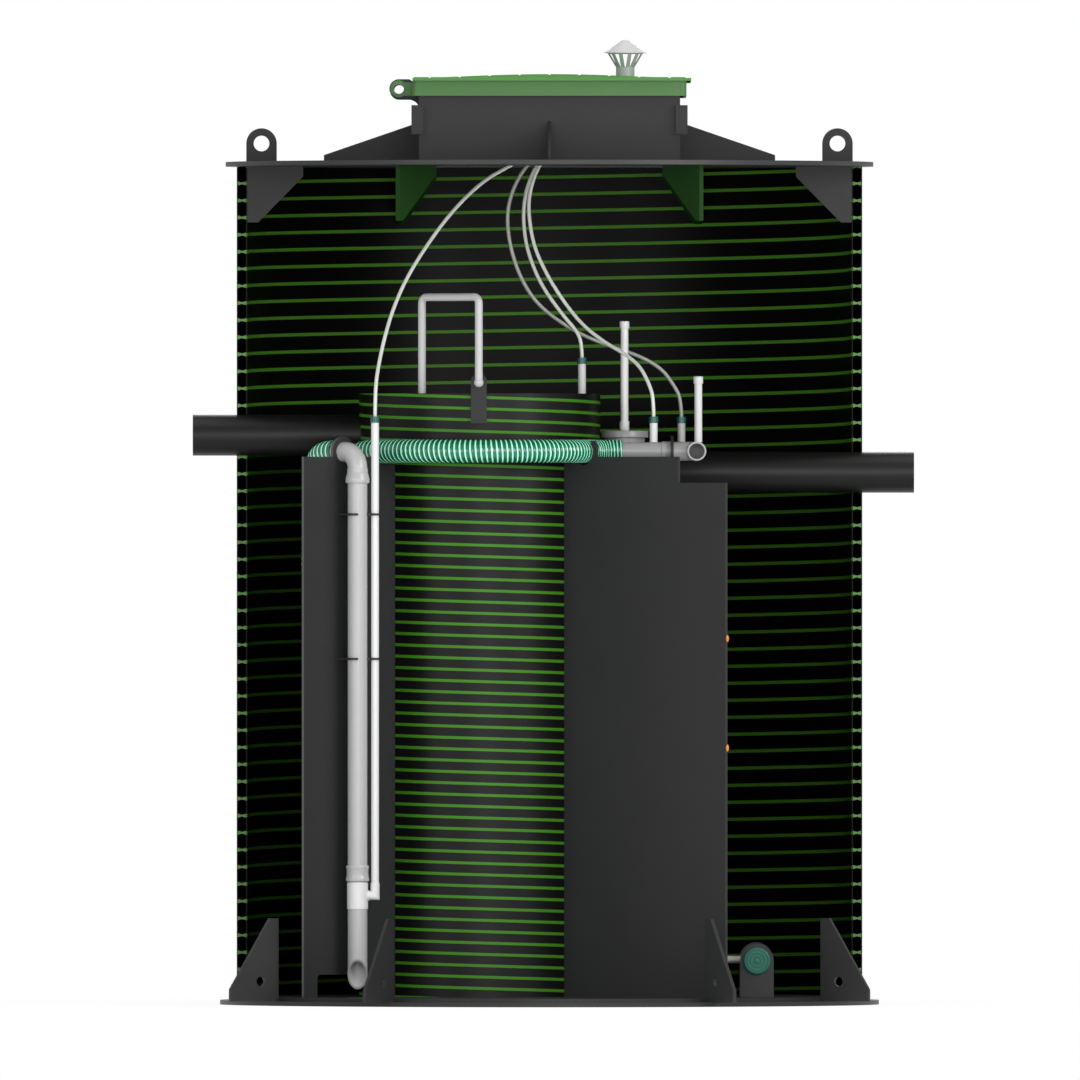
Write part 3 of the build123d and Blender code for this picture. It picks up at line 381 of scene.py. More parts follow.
@dataclass(frozen=True)
class SawnSheet(BlackSheet):
    """Polyethylene sheet sawn to shape: its sawn edges are rougher than its skin, and so look paler."""

    edge: str = "#4E4E4E"
    across: Point = (0.7071, -0.7071, 0.0)

    def tint(self, tree: NodeTree, place: Node) -> NodeSocket:
        """Mix in the sawn edge where a face doesn't look across the sheet."""
        facing = add_node(tree, "ShaderNodeVectorMath", {
            0: place.outputs["Normal"], 1: self.across}, operation="DOT_PRODUCT")
        flat = add_node(tree, "ShaderNodeMath", {0: facing.outputs["Value"]}, operation="ABSOLUTE")
        sawn = add_node(tree, "ShaderNodeMapRange", {
            "Value": flat, "From Min": 0.4, "From Max": 0.6, "To Min": 1.0, "To Max": 0.0})
        mixed = add_node(tree, "ShaderNodeMix", {
            0: sawn, 6: super().tint(tree, place), 7: to_linear(self.edge)}, data_type="RGBA")
        return mixed.outputs[2]


@dataclass(frozen=True)
class WoundWall(Finish):
    """Black polyethylene wall wound from a strip, with a green co-extruded rib that shows as a helical seam.
    The seam's edge is soft by a millimetre, and the wound strip has a faint sheen between seams."""

    body: str
    seam: str
    top_seam: float
    pitch: float
    width: float
    centre_x: float = 0.0
    edge: float = 0.0005
    rise: float = 0.0012
    sheen: str = "#060606"
    roughness: float = 0.4
    specular: float = 0.08
    mottle_mm: float = 83.0

    def shader(self, tree: NodeTree) -> Node:
        """Build the wall's nodes: the seam's phase is (top - z) / pitch, less two seams to a turn."""
        place = add_node(tree, "ShaderNodeTexCoord")
        x, y, z = add_node(tree, "ShaderNodeSeparateXYZ", {"Vector": place.outputs["Object"]}).outputs
        aside = add_node(tree, "ShaderNodeMath", {0: x, 1: self.centre_x}, operation="SUBTRACT")
        angle = add_node(tree, "ShaderNodeMath", {0: y, 1: aside}, operation="ARCTAN2")
        turns = add_node(tree, "ShaderNodeMath", {0: angle, 1: 1 / pi}, operation="MULTIPLY")
        drop = add_node(tree, "ShaderNodeMath", {0: self.top_seam, 1: z}, operation="SUBTRACT")
        count = add_node(tree, "ShaderNodeMath", {0: drop, 1: self.pitch}, operation="DIVIDE")
        phase = add_node(tree, "ShaderNodeMath", {0: count, 1: turns}, operation="SUBTRACT")
        shifted = add_node(tree, "ShaderNodeMath", {0: phase, 1: 0.5}, operation="ADD")
        band = stripe(tree, shifted, self.width / 2 / self.pitch, self.edge / self.pitch)
        mottle = add_node(tree, "ShaderNodeTexNoise", {
            "Vector": place.outputs["Object"], "Scale": MM_IN_M / self.mottle_mm})
        dark = add_node(tree, "ShaderNodeMix", {
            0: mottle, 6: to_linear(self.body), 7: to_linear(self.sheen)}, data_type="RGBA")
        colour = add_node(tree, "ShaderNodeMix", {
            0: band, 6: dark.outputs[2], 7: to_linear(self.seam)}, data_type="RGBA")
        bump = add_node(tree, "ShaderNodeBump", {"Height": band, "Strength": 0.6, "Distance": self.rise})
        return add_node(tree, "ShaderNodeBsdfPrincipled", {
            "Base Color": colour.outputs[2], "Roughness": self.roughness,
            "Specular IOR Level": self.specular, "Normal": bump})


@dataclass(frozen=True)
class SpiralHosePlastic(Finish):
    """Clear flexible PVC hose with a hard mint rib wound round it: dark translucent green between the ribs,
    and a glossy surface that catches the light in a thin line along its top."""

    name: str = "clear_pvc_hose_with_mint_rib"
    rib: str = "#A4FFDA"
    web: str = "#126045"
    rib_share: float = 0.29
    rib_edge: float = 0.05

    def shader(self, tree: NodeTree) -> Node:
        """Build the hose's nodes: U counts the ribs along the hose."""
        place = add_node(tree, "ShaderNodeUVMap", uv_map="UVMap")
        along = add_node(tree, "ShaderNodeSeparateXYZ", {"Vector": place})
        band = stripe(tree, along, self.rib_share / 2, self.rib_edge)
        colour = add_node(tree, "ShaderNodeMix", {
            0: band, 6: to_linear(self.web), 7: to_linear(self.rib)}, data_type="RGBA")
        return add_node(tree, "ShaderNodeBsdfPrincipled", {
            "Base Color": colour.outputs[2], "Roughness": 0.12, "IOR": 1.53, "Coat Weight": 0.6,
            "Coat Roughness": 0.05})


@dataclass(frozen=True)
class PaleStage(Finish):
    """Plain painted floor and backdrop: the camera sees it near white, and it keeps the object's shadow."""

    name: str = "painted_floor"
    paint: str = "#F4F4F4"
    shadow_share: float = 0.12
    shadow_reach: float = 3.0

    def shader(self, tree: NodeTree) -> Node:
        """Build the floor's nodes: a diffuse paint, with a white glow for camera, mirror and clear rays."""
        path = add_node(tree, "ShaderNodeLightPath")
        seen = add_node(tree, "ShaderNodeMath", {
            0: path.outputs["Is Camera Ray"], 1: path.outputs["Is Glossy Ray"]}, operation="MAXIMUM")
        through = add_node(tree, "ShaderNodeMath", {
            0: seen, 1: path.outputs["Is Transmission Ray"]}, operation="MAXIMUM")
        place = add_node(tree, "ShaderNodeTexCoord")
        away = add_node(tree, "ShaderNodeVectorMath", {0: place.outputs["Object"]}, operation="LENGTH")
        nearness = add_node(tree, "ShaderNodeMapRange", {
            "Value": away.outputs["Value"], "From Min": 0.0, "From Max": self.shadow_reach,
            "To Min": 1 - self.shadow_share, "To Max": 1.0}, interpolation_type="SMOOTHSTEP")
        share = add_node(tree, "ShaderNodeMath", {0: through, 1: nearness}, operation="MULTIPLY")
        paint = add_node(tree, "ShaderNodeBsdfDiffuse", {"Color": to_linear(self.paint)})
        glow = add_node(tree, "ShaderNodeEmission", {"Color": (1, 1, 1, 1), "Strength": 1.0})
        return add_node(tree, "ShaderNodeMixShader", {0: share, 1: paint, 2: glow})


@dataclass(frozen=True)
class Palette:
    """The finishes of the plant and its stage, by what they are."""

    sheet: Finish = BlackSheet("black_polyethylene_sheet", "#2B2B2C", "#272728")
    # A darker copy of the sheet's black for the neck, the lugs and the smaller sheet parts: painted shade.
    frame: Finish = BlackSheet("black_polyethylene_sheet_painted_shade", "#252526", "#212122", specular=0.22)
    # A lighter copy of the sheet's black for the top plate: painted light.
    plate: Finish = BlackSheet("black_polyethylene_sheet_painted_light", "#333334", "#2F2F30")
    partition: Finish = SawnSheet("black_polyethylene_sheet_sawn", "#2B2B2C", "#272728")
    bracket: Finish = MouldedPlastic(
        "green_polyethylene_bracket", "#12350B", "#102F09", roughness=0.5, specular=0.12)
    lid: Finish = MouldedPlastic(
        "green_moulded_lid", "#437039", "#3E6934", roughness=0.42, mottle_mm=90, specular=0.3)
    # A lighter copy of the skirt's green for the panel's top and lip, with no specular: painted light.
    lid_top: Finish = MouldedPlastic(
        "green_moulded_lid_painted_light", "#57894B", "#518245", roughness=0.6, mottle_mm=90, specular=0.0)
    grey: Finish = RigidPipe("grey_pvc_pipe", "#A8A8A8", "#A2A2A2", roughness=0.25)
    drain: Finish = RigidPipe("grey_pvc_fitting", "#9B9B9B", "#959595")
    tee: Finish = RigidPipe("grey_pvc_tee", "#8E8E8E", "#888888")
    feed: Finish = RigidPipe("pale_pvc_pipe", "#A9A7A4", "#A29F9C")
    vent: Finish = MouldedPlastic("grey_vent", "#9EA39E", "#989D98", peel_depth=0.01)
    cap: Finish = MouldedPlastic("pale_vent_cap", "#B6B6B6", "#B0B0B0", roughness=0.45, peel_depth=0.01)
    white: Finish = RigidPipe("white_pvc_pipe", "#D0D0D0", "#CACACA")
    # A greyer copy of the white pipe's colour, for the elbow's riser and the cylinder's air pipe: painted
    # shade.
    riser: Finish = RigidPipe("white_pvc_pipe_painted_shade", "#C6C6C6", "#C0C0C0")
    over: Finish = RigidPipe("pale_pvc_pipe_bent", "#B6B6B6", "#B0B0B0")
    black: Finish = MouldedPlastic("black_drain_pipe", "#111111", "#0E0E0E", specular=0.25)
    air: Finish = MouldedPlastic("clear_air_hose", "#CDD1C9", "#B8BCB3", roughness=0.2, peel_depth=0.0)
    # The diffuser's air hose takes a greyer copy of the clear hose's colour: painted shade, for a hose that
    # runs further back.
    air_hose_painted_shade: Finish = MouldedPlastic(
        "clear_air_hose_painted_shade", "#94968F", "#858780", roughness=0.3, peel_depth=0.0)
    teal: Finish = MouldedPlastic("teal_nylon", "#266B5A", "#225F50", roughness=0.35, specular=0.2)
    sleeve: Finish = MouldedPlastic("dark_teal_sleeve", "#0F4F48", "#0C443E", roughness=0.25)
    steel: Finish = MouldedPlastic("grey_hinge_tube", "#5A6A50", "#50604A", roughness=0.35)
    clip: Finish = MouldedPlastic("orange_nylon_clip", "#C97A22", "#BC7020", roughness=0.35)
    cut: Finish = MouldedPlastic("cut_green_web", "#567E45", "#50763F", roughness=0.5, specular=0.2)
    hose: Finish = SpiralHosePlastic()
    stage: Finish = PaleStage()


def spline_points(route: Sequence[Point], fineness: int = 24) -> np.ndarray:
    """Read the points of a NURBS spline through Blender.

    Args:
        route: the control points.
        fineness: steps between control points.

    Returns:
        The points along the line, n by 3.
    """
    curve = make_curve("reader", route, 0.0, fineness)
    mesh = bpy.data.meshes.new_from_object(curve)
    points = np.zeros(len(mesh.vertices) * 3, dtype=np.float32)
    mesh.vertices.foreach_get("co", points)
    data = curve.data
    bpy.data.objects.remove(curve)
    bpy.data.curves.remove(data)
    bpy.data.meshes.remove(mesh)
    return points.reshape(-1, 3).astype(float)


def make_curve(name: str, route: Sequence[Point], radius: float, fineness: int = 12) -> Object:
    """Make a round cord as a NURBS curve of order 3 with those control points.

    Args:
        name: the object's name.
        route: the control points.
        radius: the cord's radius, or 0 for a bare line.
        fineness: steps between control points.

    Returns:
        The curve object, linked to the scene.
    """
    data = bpy.data.curves.new(name, "CURVE")
    data.dimensions = "3D"
    data.resolution_u = fineness
    data.bevel_depth = radius
    data.bevel_resolution = 4
    data.use_fill_caps = radius > 0
    spline = data.splines.new("NURBS")
    spline.points.add(len(route) - 1)
    spline.points.foreach_set("co", np.column_stack([np.array(route), np.ones(len(route))]).ravel())
    spline.order_u = 3
    spline.use_endpoint_u = True
    piece = bpy.data.objects.new(name, data)
    bpy.context.scene.collection.objects.link(piece)
    return piece


def line_length(points: np.ndarray) -> float:
    """The length of a line through points."""
    return float(np.linalg.norm(np.diff(points, axis=0), axis=1).sum())


@dataclass
class Hoses:
    """The four air hoses and the two pieces of spiral hose, as round cords and ribbed tubes along the
    source's routes.
    """

    air_radius: float = 0.005
    spiral_radius: float = 0.031
    rib_pitch: float = 0.015
    tight_pitch: float = 0.0104
    tight_length: float = 0.75
    rib_height: float = 0.0022
    rib_sharpness: float = 1.5
    ring_step: float = 0.0015
    around: int = 36
    path_step: int = 4
    back_side: Point = (0.7071, 0.7071, 0.0)
    airlift: Route = (
        (0.084, -0.06, 2.33), (0.054, -0.062, 2.329), (0.002, -0.074, 2.318), (-0.052, -0.092, 2.288),
        (-0.105, -0.112, 2.251), (-0.16, -0.134, 2.222), (-0.214, -0.16, 2.178), (-0.275, -0.195, 2.112),
        (-0.334, -0.236, 2.03), (-0.384, -0.276, 1.948), (-0.419, -0.317, 1.868), (-0.442, -0.352, 1.79),
        (-0.458, -0.382, 1.716), (-0.467184, -0.407298, 1.65), (-0.467184, -0.407298, 1.565))
    feed: Route = (
        (0.084, -0.02, 2.33), (0.048, -0.021, 2.326), (-0.008, -0.022, 2.302), (-0.064, -0.025, 2.251),
        (-0.098, -0.024, 2.192), (-0.113, -0.022, 2.133), (-0.112, -0.018, 2.074), (-0.098, -0.012, 2.006),
        (-0.071, -0.004, 1.937), (-0.028, 0.006, 1.875), (0.052, 0.022, 1.816), (0.13, 0.038, 1.779),
        (0.213, 0.052, 1.752), (0.265, 0.062, 1.73), (0.305, 0.069, 1.703), (0.332, 0.074, 1.666),
        (0.3545, 0.075, 1.626), (0.3545, 0.075, 1.565))
    cylinder: Route = (
        (0.084, 0.06, 2.33), (0.054, 0.06, 2.327), (0.004, 0.06, 2.304), (-0.037, 0.058, 2.251),
        (-0.059, 0.055, 2.2), (-0.069, 0.053, 2.149), (-0.07, 0.05, 2.09), (-0.058, 0.045, 2.018),
        (-0.023, 0.035, 1.932), (0.037, 0.019, 1.849), (0.074, 0.007, 1.808), (0.0873, 0.0, 1.772),
        (0.0873, 0.0, 1.724))
    transfer: Route = (
        (0.084, 0.02, 2.33), (0.054, 0.02, 2.328), (0.01, 0.019, 2.302), (-0.031, 0.018, 2.251),
        (-0.055, 0.013, 2.178), (-0.056, 0.008, 2.117), (-0.042, 0.0, 2.035), (-0.007, -0.014, 1.959),
        (0.038, -0.035, 1.887), (0.089, -0.065, 1.823), (0.15, -0.105, 1.776), (0.203, -0.145, 1.746),
        (0.243, -0.184, 1.713), (0.267, -0.209, 1.666), (0.2793, -0.222, 1.626), (0.2793, -0.222, 1.565))
    spiral: Route = (
        (-0.546, -0.104, 1.1), (-0.548, -0.102, 1.2), (-0.549, -0.103, 1.3), (-0.546, -0.108, 1.395),
        (-0.533, -0.13, 1.462), (-0.498, -0.195, 1.485), (-0.443, -0.256, 1.485), (-0.378, -0.33, 1.485),
        (-0.288, -0.392, 1.485), (-0.183, -0.421, 1.485), (-0.084, -0.412, 1.485), (-0.005, -0.382, 1.485),
        (0.052, -0.34, 1.485), (0.087, -0.292, 1.485), (0.11, -0.254, 1.485), (0.133, -0.233, 1.485),
        (0.163, -0.222, 1.485), (0.1947, -0.222, 1.485))
    back: Route = (
        (-0.570752, -0.350725, 1.483), (-0.60045, -0.321026, 1.483), (-0.621, -0.273, 1.466),
        (-0.63, -0.228, 1.424), (-0.633, -0.19, 1.368), (-0.634, -0.163, 1.303), (-0.634, -0.147, 1.235),
        (-0.635, -0.139, 1.168))

    def build(self, finishes: dict[str, Material]) -> None:
        """Make, dress and declare every hose.

        Args:
            finishes: the palette's materials by name.
        """
        for name, node, route, finish in (
            ("air_hose_to_airlift", "airlift_air_hose", self.airlift, "air"),
            # this hose's greyer finish is painted shade
            ("air_hose_to_diffuser", "diffuser_air_hose", self.feed, "air_hose_painted_shade"),
            ("air_hose_to_cylinder", "cylinder_air_hose", self.cylinder, "air"),
            ("air_hose_to_transfer_pipe", "transfer_air_hose", self.transfer, "air"),
        ):
            piece = make_curve(name, route, self.air_radius)
            dress(piece, finishes[finish])
            length = line_length(spline_points(route))
            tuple(route[0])
            declare(piece, PLANT, "air_hose", node)
        for name, node, route, reference, first_pitch in (
            ("spiral_hose_round_cylinder", "spiral_hose", self.spiral[::-1], None, self.tight_pitch),
            ("spiral_hose_from_airlift", "return_hose", self.back, self.back_side, self.rib_pitch),
        ):
            piece, path = self.ribbed_tube(name, route, reference, first_pitch)
            dress(piece, finishes["hose"])
            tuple(route[0])
            line_length(path)
            declare(piece, PLANT, "green_hose", node)

    def ribbed_tube(
        self, name: str, route: Route, reference: Optional[Point], first_pitch: float
    ) -> tuple[Object, np.ndarray]:
        """Skin a tube whose radius swells at a rib that winds round it.

        The radius is the hose's own less the rib's height, plus the height times a raised cosine of the rib's
        phase; the phase is the running sum of length over pitch, less the share of a turn round the tube.

        Args:
            name: the object's name.
            route: the control points.
            reference: a direction never along the hose; without one, the direction from the cylinder's axis.
            first_pitch: the ribs' spacing at the start; it opens out evenly to the usual one.

        Returns:
            The object, and the points that it follows.
        """
        line = spline_points(route)
        steps = np.concatenate([[0], np.cumsum(np.linalg.norm(np.diff(line, axis=0), axis=1))])
        keep = np.concatenate([[True], np.diff(steps) > 1e-7])
        line, steps = line[keep], steps[keep]
        count = int(steps[-1] / self.ring_step)
        along = np.linspace(0, steps[-1], count)
        pitch = np.interp(along, [0, self.tight_length], [first_pitch, self.rib_pitch])
        turns = np.concatenate([[0], np.cumsum(2 * np.diff(along) / (pitch[1:] + pitch[:-1]))])
        path = np.column_stack([np.interp(along, steps, line[:, axis]) for axis in range(3)])
        tangent = np.gradient(path, axis=0)
        tangent /= np.linalg.norm(tangent, axis=1)[:, None]
        if reference is None:
            away = path * (1, 1, 0) - (CYLINDER_X, 0, 0)
        else:
            away = np.broadcast_to(np.array(reference), path.shape)
        first = np.cross(tangent, away)
        first /= np.linalg.norm(first, axis=1)[:, None]
        second = np.cross(tangent, first)
        share = np.linspace(0, 1, self.around + 1)
        angle = 2 * pi * share[:, None]
        winding = turns[:, None] - share
        swell = (0.5 - 0.5 * np.cos(2 * pi * winding)) ** self.rib_sharpness
        radius = self.spiral_radius - self.rib_height * (1 - swell)
        points = path[:, None] + radius[..., None] * (
            np.cos(angle) * first[:, None] + np.sin(angle) * second[:, None])
        uv = np.stack(np.broadcast_arrays(winding, share), -1).reshape(-1, 2)
        outline = np.arange(self.around)
        caps = np.stack([outline[::-1], outline + (count - 1) * len(share)])
        piece = build_mesh(name, points.reshape(-1, 3), [grid_faces(count, len(share)), caps], uv=uv)
        return piece, path[np.unique(np.append(np.arange(0, count, self.path_step), count - 1))]


@dataclass
class SpiralWall:
    """A round wall wound from a hollow strip: an outer and an inner skin with helical webs between them."""

    name: str
    finish: WoundWall
    outer: float
    inner: float
    top: float
    degrees: int
    bores: tuple[Point, ...]
    skin: float = 0.0033
    web_middle: float = 0.0046
    web_foot: float = 0.0112
    bottom: float = 0.022
    margin: float = 0.0005
    bore_radius: float = 0.054
    bore_points: int = 48
    steps: int = 96
    quarters: int = 4

    def shell(self, side: str, outer: float, inner: float) -> Object:
        """Skin a round wall between two radii, from a rectangle carried round the axis."""
        angles = np.radians(np.linspace(0, self.degrees, self.steps + 1))
        around = np.column_stack([np.cos(angles), np.sin(angles)])
        corners = ((outer, self.bottom), (outer, self.top), (inner, self.top), (inner, self.bottom))
        centre = (self.finish.centre_x, 0)
        rings = np.stack([at_level(radius * around + centre, height) for radius, height in corners], axis=1)
        whole = self.degrees == 360
        if whole:
            rings = rings[:-1]
        return loop_sweep(f"{self.name}_{side}_skin", rings, capped=not whole, closed=whole)

    def webs(self) -> Object:
        """Carry the web's waisted section along each helix.

        The section is a bar between the skins, thin in the middle and flared at both feet, which end half
        way into the skins and so share no face with them. Its height at angle a is the top seam, less the
        pitch for each seam, less the pitch for each half turn. More helices are numbered than fit, and those
        that are less than a foot tall within the wall are left out.
        """
        inset = self.skin * np.array([0.5, 1.0, 1.8])
        middle = (self.inner + self.outer) / 2
        radii = np.concatenate([self.inner + inset, [middle], self.outer - inset[::-1]])
        waist = 0.6 * self.web_foot + 0.4 * self.web_middle
        halves = np.array([self.web_foot, self.web_foot, waist, self.web_middle]) / 2
        halves = np.concatenate([halves, halves[-2::-1]])
        section_r = np.concatenate([radii, radii[::-1]])
        section_z = np.concatenate([halves, -halves[::-1]])
        angles = np.radians(np.linspace(0, self.degrees, self.steps // 2 + 1))
        pitch = self.finish.pitch
        numbers = np.arange(-2, int((self.top - self.bottom) / pitch) + 4)
        heights = self.finish.top_seam - pitch * numbers[:, None] - pitch * angles[None, :] / pi
        level = np.clip(heights[:, :, None] + section_z, self.bottom + self.margin, self.top - self.margin)
        x = self.finish.centre_x + section_r * np.cos(angles)[:, None]
        y = section_r * np.sin(angles)[:, None]
        points = np.stack(np.broadcast_arrays(x, y, level), -1)
        tall = level.max(axis=(1, 2)) - level.min(axis=(1, 2)) > self.web_foot
        return loop_sweep(f"{self.name}_webs", points[tall], smooth=False)

    def build(self, cut: Material) -> None:
        """Make and dress the wall, and cut a round hole along X for each pipe.

        Args:
            cut: the finish of the webs.
        """
        outside = self.shell("outer", self.outer, self.outer - self.skin)
        inside = self.shell("inner", self.inner + self.skin, self.inner)
        webs = self.webs()
        beside, up = self.bore_radius * circle(self.bore_points)
        for first, last, level in self.bores:
            ring = np.column_stack([np.zeros(len(up)), beside, level + up])
            cut_out((outside, inside, webs), np.stack([ring + (x, 0, 0) for x in (first, last)]))
        wall = self.finish.make()
        nodes = [f"{self.name}_{number}" for number in range(1, self.quarters + 1)]
        for piece, material in ((outside, wall), (inside, wall), (webs, cut)):
            dress(piece, material)
            sharpen(piece)
            declare(piece, PLANT, "spiral_wall", *nodes)


@dataclass
class Lid:
    """The moulded lid: a low dome with raised square tiles, a thin lip and a turned-down skirt."""

    half: float = 0.3795
    bottom: float = 2.4775
    lip_top: float = 2.485
    rise: float = 0.0112
    dome_power: float = 1.6
    tile_rise: float = 0.0022
    tile: float = 0.0803
    grooves: int = 4
    groove: float = 0.0013
    shoulder: float = 0.0032
    tile_lines: Point = (0.016, 0.028, 0.0401)
    edge_lines: tuple[float, ...] = (0.345, 0.357, 0.3615, 0.366, 0.369, 0.3725, 0.3775, 0.3795)
    border: float = 0.366
    skirt_half: float = 0.367
    skirt_wall: float = 0.007
    skirt_bottom: float = 2.437
    overlap: float = 0.001
    corner: float = 0.012
    corner_points: int = 9
    sharp_degrees: float = 50.0
    vent: Pair = (0.2035, 0.0)
    vent_radius: float = 0.0252
    vent_points: int = 48
    vent_levels: Pair = (2.46, 2.52)
    slot_places: Pair = (-0.25, 0.25)
    slot_half: float = 0.011
    slot_x: Pair = (-0.39, -0.345)
    slot_levels: Pair = (2.42, 2.51)

    def axis_lines(self) -> np.ndarray:
        """Grid lines along one side: close together at each groove's shoulders, wide apart on the tiles."""
        grooves = self.tile * np.arange(-self.grooves, self.grooves + 1)
        shoulders = np.concatenate([
            [0], self.groove + self.shoulder * np.arange(4) / 3, self.tile_lines])
        lines = grooves[:, None] + np.concatenate([-shoulders[::-1], shoulders])[None, :]
        edge = np.array(self.edge_lines)
        lines = np.concatenate([lines.ravel(), edge, -edge])
        return np.unique(np.round(lines[np.abs(lines) <= self.half], 6))

    def relief(self, line: np.ndarray) -> np.ndarray:
        """How far a point along one side is up on its tile: a smooth step from 0 in a groove to 1 on top."""
        near = np.abs(line - self.tile * np.round(line / self.tile))
        step = np.clip((near - self.groove) / self.shoulder, 0, 1)
        edge = np.clip((self.border - np.abs(line)) / self.shoulder, 0, 1)
        low = np.minimum(step, edge)
        return low * low * (3 - 2 * low)

    def top(self) -> Object:
        """Skin the panel.

        The height is the lip's, plus a dome that falls off with the square of each side's distance, plus the
        tiles' height where both sides are on a tile.
        """
        line = self.axis_lines()
        across = np.unique(np.maximum(line, -self.skirt_half))
        fall_x = np.clip(1 - (across / self.border) ** 2, 0, 1) ** self.dome_power
        fall_y = np.clip(1 - (line / self.border) ** 2, 0, 1) ** self.dome_power
        height = self.lip_top + self.rise * fall_x[:, None] * fall_y[None, :]
        height = height + self.tile_rise * self.relief(across)[:, None] * self.relief(line)[None, :]
        x, y = np.meshgrid(across, line, indexing="ij")
        upper = np.stack([x, y, height], -1).reshape(-1, 3)
        lower = np.stack([x, y, np.full_like(x, self.bottom)], -1).reshape(-1, 3)
        rows, count = len(across), len(line)
        quads = grid_faces(rows, count)
        rim = np.concatenate([
            np.arange(count), np.arange(2, rows + 1) * count - 1,
            np.arange(rows * count - 2, count * (rows - 1) - 1, -1), np.arange(rows - 2, 0, -1) * count])
        after = np.roll(rim, -1)
        shift = rows * count
        wall = np.column_stack([rim, after, after + shift, rim + shift])
        piece = build_mesh("lid_top", np.vstack([upper, lower]), [quads, quads[:, ::-1] + shift, wall])
        mend_normals(piece)
        sharpen(piece, self.sharp_degrees)
        return piece

    def skirt(self) -> Object:
        """Carry a thin upright section round a square with rounded corners."""
        turn = np.linspace(0, pi / 2, self.corner_points)
        arc = self.corner * np.column_stack([np.cos(turn), np.sin(turn)]) + (self.skirt_half - self.corner)
        quarter = np.array([[0, 1], [-1, 0]])
        outline = np.concatenate([arc @ np.linalg.matrix_power(quarter, number) for number in range(4)])
        inset = outline * (self.skirt_half - self.skirt_wall) / self.skirt_half
        top = self.bottom + self.overlap
        rings = np.stack([at_level(outline, self.skirt_bottom), at_level(outline, top), at_level(inset, top),
                          at_level(inset, self.skirt_bottom)], axis=1)
        return loop_sweep("lid_skirt", rings, closed=True)

    def build(self, finishes: dict[str, Material]) -> None:
        """Make the panel and its skirt, cut the ears' slots and the vent's hole, and dress them.

        Args:
            finishes: the palette's materials by name.
        """
        panel = self.top()
        frame = self.skirt()
        left, right = self.slot_x
        for middle in self.slot_places:
            near, far = middle - self.slot_half, middle + self.slot_half
            outline = np.array([[left, near], [right, near], [right, far], [left, far]])
            box = np.stack([at_level(outline, level) for level in self.slot_levels])
            cut_out((panel, frame), box, smooth=False)
        outline = (self.vent_radius * circle(self.vent_points)).T + self.vent
        cut_out((panel,), np.stack([at_level(outline, level) for level in self.vent_levels]))
        # The panel takes the skirt's green painted lighter, as light.
        for piece, finish in ((panel, "lid_top"), (frame, "lid")):
            dress(piece, finishes[finish])
            sharpen(piece, self.sharp_degrees)
            declare(piece, LID, "lid_green", "lid_panel")


